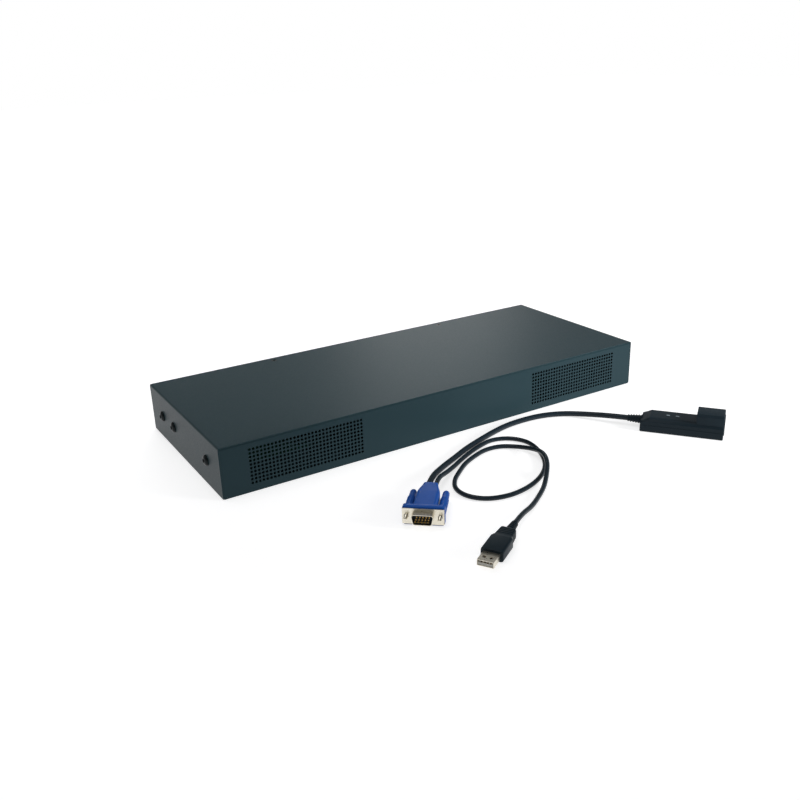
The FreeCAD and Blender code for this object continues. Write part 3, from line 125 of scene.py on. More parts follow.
def linear(red, green, blue):
    """An 8-bit display colour as scene-linear values."""
    return tuple(((c / 255 + 0.055) / 1.055) ** 2.4 if c > 10 else c / 255 / 12.92
                 for c in (red, green, blue)) + (1.0,)


RANGE_ENDS = ("From Min", "From Max", "To Min", "To Max")


class Finish:
    """A material under construction, with its pattern on Object coordinates."""

    def __init__(self, name, colour, roughness, metallic=0.0, specular=0.5):
        self.material = bpy.data.materials.new(name)
        self.material.use_nodes = True
        self.tree = self.material.node_tree
        self.shader = self.tree.nodes["Principled BSDF"]
        self.shader.inputs["Base Color"].default_value = colour
        self.shader.inputs["Roughness"].default_value = roughness
        self.shader.inputs["Metallic"].default_value = metallic
        self.shader.inputs["Specular IOR Level"].default_value = specular
        self.colour = colour
        self.place = self.add("ShaderNodeTexCoord").outputs["Object"]
        self.normal = None

    def add(self, kind, **values):
        """A new node of a kind, with some of its sockets set."""
        node = self.tree.nodes.new(kind)
        for name, value in values.items():
            node.inputs[name.replace("_", " ").title()].default_value = value
        return node

    def link(self, out, into):
        """Join an output to an input."""
        self.tree.links.new(out, into)

    def noise(self, scale, detail=2.0, stretch=(1, 1, 1)):
        """Value noise of a scale per metre, stretched along the axes."""
        mapping = self.add("ShaderNodeMapping", Scale=stretch)
        texture = self.add("ShaderNodeTexNoise", Scale=scale, Detail=detail)
        self.link(self.place, mapping.inputs["Vector"])
        self.link(mapping.outputs["Vector"], texture.inputs["Vector"])
        return texture.outputs["Fac"]

    def mottle(self, scale, amount, detail=3.0, stretch=(1, 1, 1)):
        """Let the colour wander by a share of itself, darker and lighter."""
        blend = self.tree.nodes.new("ShaderNodeMix")
        blend.data_type = "RGBA"
        dark = tuple(c * (1 - amount) for c in self.colour[:3]) + (1.0,)
        light = tuple(min(1.0, c * (1 + amount)) for c in self.colour[:3]) + (1.0,)
        blend.inputs["A"].default_value = dark
        blend.inputs["B"].default_value = light
        self.link(self.noise(scale, detail, stretch), blend.inputs["Factor"])
        self.link(blend.outputs["Result"], self.shader.inputs["Base Color"])
        return self

    def wear(self, scale, low, high, detail=3.0, stretch=(1, 1, 1)):
        """Let the roughness wander between two values."""
        spread = self.tree.nodes.new("ShaderNodeMapRange")
        for name, value in zip(RANGE_ENDS, (0.3, 0.7, low, high)):
            spread.inputs[name].default_value = value
        self.link(self.noise(scale, detail, stretch), spread.inputs["Value"])
        self.link(spread.outputs["Result"], self.shader.inputs["Roughness"])
        return self

    def grain(self, scale, depth, strength=1.0, detail=2.0, stretch=(1, 1, 1)):
        """Raise the surface with noise: a scale per metre and a depth in metres."""
        bump = self.add("ShaderNodeBump", Strength=strength, Distance=depth)
        self.link(self.noise(scale, detail, stretch), bump.inputs["Height"])
        if self.normal:
            self.link(self.normal, bump.inputs["Normal"])
        self.normal = bump.outputs["Normal"]
        self.link(self.normal, self.shader.inputs["Normal"])
        return self


def powder_coat():
    """Satin blue-grey powder coat: orange peel of about a millimetre over finer grit."""
    return (Finish("powder_coat", linear(39, 58, 64), 0.38, specular=0.1)
            .mottle(18, 0.05).wear(900, 0.34, 0.42).grain(1100, 0.00005, 0.3)
            .grain(4200, 0.00002, 0.25)).material


def black_oxide():
    """Blackened steel of the screws, worn a little brighter in places."""
    return (Finish("black_oxide", linear(18, 26, 28), 0.32, 0.3, 0.2)
            .mottle(600, 0.2).wear(1500, 0.25, 0.42).grain(2600, 0.00002, 0.2)).material


def jacket_rubber():
    """Matt PVC of the cables, with a faint sheen."""
    return (Finish("jacket_rubber", linear(24, 36, 44), 0.34, specular=0.25)
            .mottle(300, 0.12).wear(1200, 0.3, 0.4).grain(3000, 0.00003, 0.25)).material


def black_moulding():
    """Black moulded plastic with a fine spark-eroded texture."""
    return (Finish("black_moulding", linear(22, 36, 44), 0.4, specular=0.16)
            .mottle(250, 0.1).wear(1400, 0.38, 0.5).grain(3500, 0.00004, 0.35)).material


def socket_black():
    """Neutral black plastic of sockets and chips."""
    return (Finish("socket_black", linear(16, 18, 21), 0.45, specular=0.2)
            .mottle(250, 0.1).wear(900, 0.38, 0.52).grain(2500, 0.00002, 0.25)).material


def blue_moulding():
    """Royal blue PVC of the video plug, softly glossy."""
    return (Finish("blue_moulding", linear(20, 78, 162), 0.36, specular=0.16)
            .mottle(220, 0.08).wear(900, 0.3, 0.44).grain(2600, 0.00003, 0.25)).material


def nickel_plate():
    """Nickel-plated sheet with faint drawing lines."""
    return (Finish("nickel_plate", linear(226, 220, 204), 0.3, 1.0)
            .mottle(90, 0.03).wear(500, 0.26, 0.34).grain(2200, 0.00001, 0.08)).material


def zinc_steel():
    """Zinc-plated steel, slightly clouded."""
    return (Finish("zinc_steel", linear(190, 192, 194), 0.35, 1.0)
            .mottle(120, 0.08).wear(400, 0.28, 0.45).grain(1800, 0.00001, 0.2)).material


def gold_flash():
    """Thin gold over contacts."""
    return (Finish("gold_flash", linear(176, 142, 82), 0.34, 1.0)
            .mottle(500, 0.08).wear(900, 0.2, 0.32)).material


def white_nylon():
    """Off-white nylon of the button, the plugs inside and the rocker's marks."""
    return (Finish("white_nylon", linear(226, 224, 214), 0.45)
            .mottle(200, 0.04).wear(800, 0.4, 0.52).grain(2500, 0.00002, 0.2)).material


def lamp_clear():
    """Milky lenses of lamps that are off."""
    return (Finish("lamp_clear", linear(150, 164, 172), 0.18)
            .mottle(300, 0.05).wear(900, 0.14, 0.24)).material


def solder_mask():
    """Green solder mask with lighter copper runs under it."""
    return (Finish("solder_mask", linear(22, 92, 58), 0.35)
            .mottle(420, 0.35, 1.0, (1, 6, 1)).wear(500, 0.3, 0.45)
            .grain(900, 0.00002, 0.3)).material


def extruded_aluminium():
    """Plain aluminium of the finned heatsinks, streaked along the fins."""
    return (Finish("extruded_aluminium", linear(206, 208, 212), 0.38, 1.0)
            .mottle(80, 0.05).wear(900, 0.32, 0.48, stretch=(1, 8, 1))).material


def polyester_tape():
    """Amber tape round the transformer."""
    return (Finish("polyester_tape", linear(212, 176, 48), 0.3)
            .mottle(90, 0.1).wear(300, 0.24, 0.4)).material


SLOT_FINISHES = {
    "case_paint": powder_coat,
    "black_screw": black_oxide,
    "circuit_board": solder_mask,
    "bright_metal": zinc_steel,
    "chip_black": socket_black,
    "fin_aluminium": extruded_aluminium,
    "white_plastic": white_nylon,
    "black_plastic": black_moulding,
    "blue_plastic": blue_moulding,
    "plug_metal": nickel_plate,
    "contact_brass": gold_flash,
    "lamp_plastic": lamp_clear,
    "transformer_tape": polyester_tape,
    "cable_jacket": jacket_rubber,
}
finishes = {slot: make() for slot, make in SLOT_FINISHES.items()}


def dress_nodes():
    """Give every node of the frame the finish of its slot."""
    for entry in record["subparts"]:
        item = nodes[entry["node"]]
        item.data.materials.clear()
        item.data.materials.append(finishes[entry["material_slot"]])


# ---- mesh helpers --------------------------------------------------------------------------

def piece(name, islands, slot, body, replaced=(), smooth=35):
    """One mesh from islands of (points in metres, faces), with its slot, body and replaced nodes.

    Edges sharper than the angle named smooth, in degrees, stay sharp."""
    points, faces, shift = [], [], 0
    for island_points, island_faces in islands:
        points.append(np.asarray(island_points, float).reshape(-1, 3))
        faces += [tuple(int(i) + shift for i in face) for face in island_faces]
        shift += len(points[-1])
    mesh = bpy.data.meshes.new(name)
    mesh.from_pydata(np.concatenate(points).tolist(), [], faces)
    mesh.polygons.foreach_set("use_smooth", np.ones(len(mesh.polygons), bool))
    mesh.set_sharp_from_angle(angle=math.radians(smooth))
    mesh.materials.append(finishes[slot])
    item = bpy.data.objects.new(name, mesh)
    bpy.context.collection.objects.link(item)
    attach(item, body)
    if replaced:
        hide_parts(*replaced)


def tube_faces(rings, around):
    """Quads between rings of equal length, and the two fans that close the first and last ring.

    The rings run anticlockwise when looked at against the direction in which they follow."""
    ring, step = np.meshgrid(np.arange(rings - 1), np.arange(around), indexing="ij")
    following = (step + 1) % around
    near, far = ring * around, (ring + 1) * around
    quads = np.stack([near + step, near + following, far + following, far + step], -1)
    last = (rings - 1) * around
    return ([tuple(face) for face in quads.reshape(-1, 4)]
            + [tuple(range(around))[::-1], tuple(range(last, last + around))])


def carried(stations, ring, lay):
    """A closed outline of (y, z) carried along X and laid in its place. Each station is (x, scale
    across, scale up), and may go on with a shift (across, up).

    The point at station s and ring place t is (x(s), across(s) y(t), up(s) z(t)), and the first and
    last rings are filled. A ring may also be given for each station of its own."""
    stations = np.asarray(stations, float)
    ring = np.asarray(ring, float)
    rings = ring if ring.ndim == 3 else np.broadcast_to(ring, (len(stations),) + ring.shape)
    points = np.empty(rings.shape[:2] + (3,))
    points[..., 0] = stations[:, None, 0]
    points[..., 1:] = rings * stations[:, None, 1:3]
    if stations.shape[1] > 3:
        points[..., 1:] += stations[:, None, 3:5]
    faces = tube_faces(len(stations), rings.shape[1])
    return lay(points.reshape(-1, 3)), faces


def rounded(corners, radii, steps=5):
    """A closed outline of straight lines whose corners are arcs: between the tangent points of a
    corner the outline is a circle's arc of the corner's radius, in equal steps of angle."""
    corners = np.asarray(corners, float)
    radii = np.broadcast_to(np.asarray(radii, float), (len(corners),))
    back = np.roll(corners, 1, 0) - corners
    ahead = np.roll(corners, -1, 0) - corners
    back /= np.linalg.norm(back, axis=1)[:, None]
    ahead /= np.linalg.norm(ahead, axis=1)[:, None]
    half = np.arccos(np.clip((back * ahead).sum(1), -1, 1)) / 2
    bisector = back + ahead
    length = np.linalg.norm(bisector, axis=1)
    bisector = bisector / np.where(length < 1e-9, 1, length)[:, None]
    centre = corners + bisector * (radii / np.sin(half))[:, None]
    start = corners + back * (radii / np.tan(half))[:, None] - centre
    end = corners + ahead * (radii / np.tan(half))[:, None] - centre
    turn = np.arctan2(start[:, 0] * end[:, 1] - start[:, 1] * end[:, 0], (start * end).sum(1))
    angle = turn[:, None] * np.linspace(0, 1, steps + 1)
    x = np.cos(angle) * start[:, None, 0] - np.sin(angle) * start[:, None, 1]
    y = np.sin(angle) * start[:, None, 0] + np.cos(angle) * start[:, None, 1]
    return (centre[:, None] + np.stack([x, y], -1)).reshape(-1, 2)


def rounded_box(width, height, radius, steps=5):
    """The outline of a rectangle about its middle with round corners, anticlockwise from +Y."""
    wide, high = width / 2, height / 2
    return rounded([(wide, -high), (wide, high), (-wide, high), (-wide, -high)], radius, steps)


def turned(profile, around=32):
    """A profile of (along X, radius) turned round the X axis: the point at place s and angle t is
    (x(s), r(s) cos t, r(s) sin t). Ends of radius zero close the form."""
    profile = np.asarray(profile, float)
    angle = np.linspace(0, 2 * math.pi, around, endpoint=False)
    inner = profile[1:-1]
    points = np.empty((len(inner), around, 3))
    points[..., 0] = inner[:, None, 0]
    points[..., 1] = inner[:, None, 1] * np.cos(angle)
    points[..., 2] = inner[:, None, 1] * np.sin(angle)
    faces = tube_faces(len(inner), around)[:-2]
    first, last = len(inner) * around, len(inner) * around + 1
    step = np.arange(around)
    following = (step + 1) % around
    foot = (len(inner) - 1) * around
    faces += [(first, int(b), int(a)) for a, b in zip(step, following)]
    faces += [(last, int(a) + foot, int(b) + foot) for a, b in zip(step, following)]
    ends = np.array([(profile[0, 0], 0, 0), (profile[-1, 0], 0, 0)])
    return np.concatenate([points.reshape(-1, 3), ends]), faces


def aimed(island, origin, axis):
    """Lay an island drawn along X, in millimetres, at a point in metres with X along an axis."""
    points, faces = island
    axis = np.asarray(axis, float)
    helper = np.array([0, 0, 1.0]) if abs(axis[2]) < 0.9 else np.array([0, 1.0, 0])
    side = np.cross(helper, axis)
    side /= np.linalg.norm(side)
    top = np.cross(axis, side)
    return np.asarray(origin) + points @ np.stack([axis, side, top]) * MM, faces


def laid(island, lay):
    """Lay an island drawn in a plug's own frame, in millimetres, on the table."""
    return lay(island[0]), island[1]


def shifted(island, offset):
    """Move an island by an offset."""
    return island[0] + np.asarray(offset, float), island[1]


def bar(low, high, radius=0.15, steps=2):
    """A small bar along X between two corners, with rounded long edges and softened ends."""
    low, high = np.asarray(low, float), np.asarray(high, float)
    ring = rounded_box(high[1] - low[1], high[2] - low[2], radius, steps)
    size = np.maximum(high[1:] - low[1:], 1e-6)
    slim = 1 - radius / size
    middle = (low[1:] + high[1:]) / 2
    stations = [(low[0], *slim, *middle), (low[0] + radius / 2, 1, 1, *middle),
                (high[0] - radius / 2, 1, 1, *middle), (high[0], *slim, *middle)]
    return carried(stations, ring, lambda points: points)


def ringed(start, places, radius, pitch, share, depth, mouth, end):
    """A strain relief along X: a turned taper with a square wave of grooves cut into it.

    The wave is cut where sin(2 pi (x - start) / pitch) isn't above the share. The mouth is the
    radius at the start, and the end is (x, radius) of the thick end."""
    grooves = np.where(np.sin((places - start) * 2 * math.pi / pitch) > share, 0.0, -depth)
    taper = np.stack([places, radius + grooves], 1)
    return turned(np.concatenate([[(start, 0), (start, mouth)], taper, [end, (end[0], 0)]]), 32)


# ---- cords ---------------------------------------------------------------------------------

MAIN_RADIUS = 2.45
USB_RADIUS = 1.9
LEAD = 14.0
MAIN_ROUTE = [
    (121, -128, 1.2), (107, -112, 0), (88, -104, 0), (68, -102, 0), (48, -103, 0), (28, -108, 0),
    (8, -115, 0), (-11, -122, 0), (-29, -131, 0), (-48, -141, 1.0),
]
USB_ROUTE = [
    (-53, -153, 2.4), (-39, -144, 0.4), (-26, -136, 0), (-12, -129, 0), (3, -123, 0), (18, -119, 0),
    (33, -125, 0), (41, -139, 0), (39, -155, 0), (33, -170, 0), (24, -184, 0), (12, -195, 0),
    (-2, -203, 0), (-18, -208, 0), (-34, -209, 0), (-50, -204, 0), (-60, -192, 0), (-61, -177, 0),
    (-53, -164, 0), (-41, -154, 0), (-28, -144, 0), (-13, -137, 0), (2, -132, 0), (17, -134, 0),
    (28, -145, 0.4), (31, -160, 3.4), (28, -176, 7.1), (20, -191, 7.1), (9, -203, 3.4),
    (-3, -214, 0.4), (-16, -223, 0), (-30, -232, 0),
]
HOOD_END = -43.8
NECK = -47.8
NECK_LEVEL = 7.5
CABLE_SIDE = 2.7
DONGLE_RELIEF = -12.0
DONGLE_LEVEL = 6.5
USB_RELIEF = -46.0
USB_LEVEL = 4.3


def cord(name, radius, points):
    """A round cable on one smooth spline through the given control points, in metres."""
    data = bpy.data.curves.new(name, "CURVE")
    data.dimensions = "3D"
    data.bevel_depth = radius
    data.bevel_resolution = 8
    data.resolution_u = 8
    data.use_fill_caps = True
    spline = data.splines.new("NURBS")
    spline.points.add(len(points) - 1)
    for point, place in zip(spline.points, points):
        point.co = (*place, 1.0)
    spline.order_u = 3
    spline.use_endpoint_u = True
    data.materials.append(finishes["cable_jacket"])
    item = bpy.data.objects.new(name, data)
    bpy.context.collection.objects.link(item)
    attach(item, "adapter")
    return item


def cords():
    """The cable between dongle and video plug, and the looped one from there to the USB plug."""
    middle = [np.array((x, y, MAIN_RADIUS + lift)) * MM for x, y, lift in MAIN_ROUTE]
    start = [dongle((x, 0, DONGLE_LEVEL)) for x in (DONGLE_RELIEF, DONGLE_RELIEF - LEAD)]
    end = [video_plug((x, -CABLE_SIDE, NECK_LEVEL)) for x in (NECK - LEAD, HOOD_END + 1)]
    route = start + middle + end
    main = cord("main_cable_jacket", MAIN_RADIUS * MM, route)
    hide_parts("main_cable")
    middle = [np.array((x, y, USB_RADIUS + lift)) * MM for x, y, lift in USB_ROUTE]
    start = [video_plug((x, CABLE_SIDE, NECK_LEVEL)) for x in (HOOD_END + 1, NECK - LEAD)]
    end = [usb_plug((x, 0, USB_LEVEL)) for x in (USB_RELIEF - LEAD, USB_RELIEF)]
    route = start + middle + end
    usb = cord("usb_cable_jacket", USB_RADIUS * MM, route)
    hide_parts("usb_cable")


# ---- front panel ---------------------------------------------------------------------------

VENT_COLUMNS = 32
VENT_ROWS = 10
VENT_PITCH = 3.2
VENT_RADIUS = 1.18
VENT_OFFSET = 141.1
VENT_LEVEL = 22.0
SHEET = 1.0
BEND = 1.5
BEND_STEPS = 6
CELL_STEPS = 4


def front_panel():
    """The front wall with two fields of round holes, and its flanges.

    The sheet is a grid over X and the way along its section: flange, quarter bend, wall. The inner
    face is the same grid one sheet further in. In the fields each cell of four by four steps is a
    ring of quads from its square rim to a circle, and a short tube joins both circles.
    """
    low, high = (corner / MM for corner in box("front_panel"))
    front, back, top = low[1], high[1], high[2]
    steps = CELL_STEPS
    half = VENT_COLUMNS * VENT_PITCH / 2
    field = np.linspace(-half, half, VENT_COLUMNS * steps + 1)
    xs = np.unique(np.round(np.concatenate([[low[0], high[0], 0.0], -VENT_OFFSET + field,
                                            VENT_OFFSET + field]), 6))
    half = VENT_ROWS * VENT_PITCH / 2
    rows = VENT_LEVEL + np.linspace(half, -half, VENT_ROWS * steps + 1)
    angle = np.linspace(0, math.pi / 2, BEND_STEPS + 1)

    def section(radius, skin):
        """Flange, bend and wall as (y, z), pushed inwards by a skin."""
        centre = np.array([front + BEND, top - BEND])
        bend = centre + radius * np.stack([-np.sin(angle), np.cos(angle)], 1)
        flange = np.array([[back, top - skin]])
        wall = np.stack([np.full(len(rows), front + skin), rows], 1)
        foot = np.array([[front + skin, 0.0]])
        return np.concatenate([flange, bend, wall, foot])

    outer = section(BEND, 0.0)
    inner = section(BEND - SHEET, SHEET)
    count_x, count_s = len(xs), len(outer)
    points = []
    for line in (outer, inner):
        grid = np.empty((count_x, count_s, 3))
        grid[..., 0] = xs[:, None]
        grid[..., 1:] = line[None]
        points.append(grid.reshape(-1, 3))
    shift = count_x * count_s
    first_row = 1 + len(angle)
    starts = [int(np.argmin(abs(xs - (side * VENT_OFFSET - VENT_COLUMNS * VENT_PITCH / 2))))
              for side in (-1, 1)]
    covered = np.zeros((count_x - 1, count_s - 1), bool)
    for start in starts:
        covered[start:start + VENT_COLUMNS * steps, first_row:first_row + VENT_ROWS * steps] = True
    i, j = np.nonzero(~covered)
    a = i * count_s + j
    quads = [np.stack([a, a + 1, a + count_s + 1, a + count_s], 1)]
    quads.append(quads[0][:, ::-1] + shift)
    rim_i = np.concatenate([np.arange(steps), np.full(steps, steps), np.arange(steps, 0, -1),
                            np.zeros(steps, int)])
    rim_j = np.concatenate([np.zeros(steps, int), np.arange(steps), np.full(steps, steps),
                            np.arange(steps, 0, -1)])
    spoke = np.arctan2(steps / 2 - rim_j, rim_i - steps / 2)
    ring = len(rim_i)
    corner_i = np.concatenate([start + steps * np.arange(VENT_COLUMNS) for start in starts])
    corner_j = first_row + steps * np.arange(VENT_ROWS)
    cell_i, cell_j = (grid.ravel() for grid in np.meshgrid(corner_i, corner_j, indexing="ij"))
    rim = (cell_i[:, None] + rim_i) * count_s + cell_j[:, None] + rim_j
    centre_x = xs[cell_i] + VENT_PITCH / 2
    centre_z = outer[cell_j, 1] - VENT_PITCH / 2
    base = 2 * shift
    circles = []
    for y in (front, front + SHEET):
        circle = np.empty((len(cell_i), ring, 3))
        circle[..., 0] = centre_x[:, None] + VENT_RADIUS * np.cos(spoke)
        circle[..., 1] = y
        circle[..., 2] = centre_z[:, None] + VENT_RADIUS * np.sin(spoke)
        circles.append(circle.reshape(-1, 3))
    points += circles
    near = base + np.arange(len(cell_i))[:, None] * ring + np.arange(ring)
    far = near + len(cell_i) * ring
    following = np.roll(np.arange(ring), -1)

    def between(one, other):
        """Quads from one closed line of each cell to the other."""
        corners = [one, other, other[:, following], one[:, following]]
        return np.stack(corners, -1).reshape(-1, 4)

    quads += [between(rim, near), between(rim + shift, far)[:, ::-1], between(near, far)]
    edge = np.concatenate([np.arange(count_s), (np.arange(1, count_x) * count_s + count_s - 1),
                           (count_x - 1) * count_s + np.arange(count_s - 2, -1, -1),
                           np.arange(count_x - 2, 0, -1) * count_s])
    after = np.roll(edge, -1)
    quads.append(np.stack([edge, edge + shift, after + shift, after], 1))
    sheet = (np.concatenate(points) * MM, np.concatenate(quads))
    piece("front_panel_sheet", [sheet], "case_paint", "case", ["front_panel"], smooth=30)


# ---- screws of the case --------------------------------------------------------------------

CLUSTER = 11.0


def centres(node):
    """Middles of the separate solids of a node, in millimetres: its vertices fall into groups that
    lie within a few millimetres of each other."""
    mesh = nodes[node].data
    points = np.empty(len(mesh.vertices) * 3)
    mesh.vertices.foreach_get("co", points)
    points = points.reshape(-1, 3) / MM
    found = []
    while len(points):
        close = np.linalg.norm(points - points[0], axis=1) < CLUSTER
        group = points[close]
        found.append((group.min(0) + group.max(0)) / 2)
        points = points[~close]
    return found


def side_screws():
    """Domed heads with a rim, a rounded shoulder and a dished round socket.

    The dome's height h(t) = H sin t / sin T stands over its radius r(t) = R cos t, and t goes
    from 0 to T at the edge of the socket.
    """
    buried, rim, height, radius = 1.3, 0.5, 2.0, 4.55
    sweep = math.radians(62)
    t = np.linspace(0, 1, 9) * sweep
    dome = np.stack([rim + height * np.sin(t) / math.sin(sweep), radius * np.cos(t)], 1)
    socket = [(2.35, 1.7), (1.1, 1.55), (0.9, 0)]
    profile = np.concatenate([[(-0.02, 0), (-0.02, 4.5), (0.35, 4.65)], dome, socket])
    heads = []
    for centre in centres("side_screws"):
        side = 1.0 if centre[0] > 0 else -1.0
        face = abs(centre[0]) - buried
        origin = np.array([side * face, centre[1], centre[2]]) * MM
        heads.append(aimed(turned(profile, 40), origin, (side, 0, 0)))
    piece("side_screw_heads", heads, "black_screw", "case", ["side_screws"])


def countersunk_screws():
    """Countersunk heads flush with the cover: a cone with a flat top and a round recess in it."""
    half_height = 0.5
    profile = [(0, 0), (0, 1.98), (0.93, 2.9), (0.99, 2.85), (0.93, 1.3), (0.45, 0.9), (0.4, 0)]
    heads = []
    for centre in centres("cover_screws"):
        origin = np.array([centre[0], centre[1], centre[2] - half_height]) * MM
        heads.append(aimed(turned(profile, 32), origin, (0, 0, 1)))
    piece("countersunk_heads", heads, "black_screw", "case", ["cover_screws"])


def inlet_screw_heads():
    """Pan heads on the mains inlet's flange, with a rounded shoulder and a round recess."""
    half_height = 0.9
    t = np.linspace(0, math.pi / 2, 7)
    shoulder = np.stack([1.0 + 0.8 * np.sin(t), 2.0 + 0.8 * np.cos(t)], 1)
    recess = [(1.2, 1.1), (0.9, 0.6), (0.85, 0)]
    profile = np.concatenate([[(0, 0), (0, 2.8)], shoulder, recess])
    heads = []
    for centre in centres("inlet_screws"):
        origin = np.array([centre[0], centre[1] - half_height, centre[2]]) * MM
        heads.append(aimed(turned(profile, 32), origin, (0, 1, 0)))
    piece("inlet_pan_heads", heads, "black_screw", "case", ["inlet_screws"])


# ---- rear connectors -----------------------------------------------------------------------

JACK_PITCH = 16.0
JACK_SILL, LATCH_STEP, MOUTH_HEIGHT = 1.6, 2.6, 7.0
CONTACT_PITCH = 1.02
SPRING_SECTION = [(-0.18, -0.12), (0.18, -0.12), (0.18, 0.12), (-0.18, 0.12)]
SPRING_PATH = [(-2.0, -0.3), (-4.0, -0.5), (-12.5, -3.6)]
USB_CONTACT_PITCH = 2.2
USB_CONTACT_HALF = 0.5


def jack_contacts():
    """Eight thin gold springs in every jack: each slants from the mouth's roof towards its back."""
    springs = []
    for node in ("server_jacks", "service_jacks"):
        low, high = (corner / MM for corner in box(node))
        ports = int(round((high[0] - low[0]) / JACK_PITCH))
        first = (low[0] + high[0]) / 2 - (ports - 1) * JACK_PITCH / 2
        roof = low[2] + JACK_SILL + LATCH_STEP + MOUTH_HEIGHT
        stations = [(high[1] + y, 1, 1, 0, roof + z) for y, z in SPRING_PATH]
        for port in range(ports):
            for contact in range(8):
                across = first + port * JACK_PITCH + (contact - 3.5) * CONTACT_PITCH
                points, faces = carried(stations, SPRING_SECTION, lambda points: points)
                place = np.stack([across + points[:, 1], points[:, 0], points[:, 2]], 1) * MM
                springs.append((place, faces))
    piece("jack_springs", springs, "contact_brass", "case")


def usb_contacts():
    """Four flat gold contacts on each tongue of the double USB socket and of the plug."""
    strips = []
    low, high = (corner / MM for corner in box("usb_socket_tongues"))
    middle = (low[0] + high[0]) / 2
    for level in (low[2], high[2] - 1.9):
        for contact in range(4):
            across = middle + (contact - 1.5) * USB_CONTACT_PITCH
            points, faces = bar((low[1] + 0.6, -USB_CONTACT_HALF, level - 0.08),
                                (high[1] - 0.6, USB_CONTACT_HALF, level + 0.1), 0.05)
            place = np.stack([across - points[:, 1], points[:, 0], points[:, 2]], 1) * MM
            strips.append((place, faces))
    piece("usb_socket_contacts", strips, "contact_brass", "case")
    strips = []
    for contact in range(4):
        across = (contact - 1.5) * USB_CONTACT_PITCH
        strip = bar((1.5, across - USB_CONTACT_HALF, 4.2), (11.0, across + USB_CONTACT_HALF, 4.38),
                    0.05)
        strips.append(laid(strip, usb_plug))
    piece("usb_plug_contacts", strips, "contact_brass", "adapter")


def lamp_lenses():
    """Two lenses in the rear panel: a short barrel under a low dome, on a foot behind the panel."""
    face, level = 85.5, 13.6
    t = np.linspace(0, math.pi / 2, 7)
    dome = np.stack([0.1 + 0.35 * np.sin(t), 1.5 * np.cos(t)], 1)
    profile = np.concatenate([[(-2.4, 0), (-2.4, 1.5)], dome[:-1], [(0.45, 0)]])
    lenses = []
    for centre in centres("status_lamps"):
        origin = np.array([centre[0], face, level]) * MM
        lenses.append(aimed(turned(profile, 32), origin, (0, 1, 0)))
        points, faces = bar((centre[0] - 2.5, 78.5, 8.6), (centre[0] + 2.5, 83.4, 16.1), 0.3)
        lenses.append((points * MM, faces))
    piece("lamp_lenses", lenses, "lamp_plastic", "case", ["status_lamps"])


def rocker_marks():
    """A raised bar and a raised ring on the two halves of the rocker, drawn on its tilted faces."""
    low, high = (corner / MM for corner in box("power_rocker"))
    centre = (low[0] + high[0]) / 2
    pivot = np.array([centre, 85.4, 22.0])
    tilt = math.radians(-10)
    valley, tip, reach = 1.2, 2.8, 7.9
    slope = math.atan2(tip - valley, reach)

    def on_face(points, half):
        """Place (across, up the face, proud) on the upper or lower half of the rocker."""
        across, up, proud = points[:, 0], points[:, 1], points[:, 2]
        y = valley + up * math.sin(slope) + proud * math.cos(slope)
        z = half * (up * math.cos(slope) - proud * math.sin(slope))
        turned_y = y * math.cos(tilt) - z * math.sin(tilt)
        turned_z = y * math.sin(tilt) + z * math.cos(tilt)
        return (pivot + np.stack([across * -half, turned_y, turned_z], 1)) * MM

    points, faces = bar((2.2, -0.4, -0.1), (5.4, 0.4, 0.12), 0.05)
    stroke = (on_face(np.stack([-points[:, 1], points[:, 0], points[:, 2]], 1), 1), faces)
    around, across = 40, 4
    big, small = (np.arange(n) * 2 * math.pi / n for n in (around, across))
    ring_r = 1.5 + 0.38 * np.cos(small + math.pi / 4)[None]
    points = np.stack(np.broadcast_arrays(ring_r * np.cos(big)[:, None],
                                          3.8 + ring_r * np.sin(big)[:, None],
                                          0.02 + 0.14 * np.sin(small + math.pi / 4)[None]), -1)
    a, b = np.meshgrid(np.arange(around), np.arange(across), indexing="ij")
    a1, b1 = (a + 1) % around, (b + 1) % across
    quads = np.stack([a * across + b, a1 * across + b, a1 * across + b1, a * across + b1], -1)
    circle = (on_face(points.reshape(-1, 3), -1), [tuple(face) for face in quads.reshape(-1, 4)])
    piece("rocker_marks", [stroke, circle], "white_plastic", "rocker")


# ---- adapter -------------------------------------------------------------------------------

HOOD_START = -5.8
HOOD_SHOULDER = -27.8
HOOD_WIDTH = 17.6
NECK_WIDTH = 11.6
SHELL_RISE = 4.15
KNOB_END = -38.3
KNOB_START = -7.3
KNOB_SIDE = 12.5
FLUTES = 12
FLUTE_DEPTH = 0.28
THREAD_PITCH = 0.7


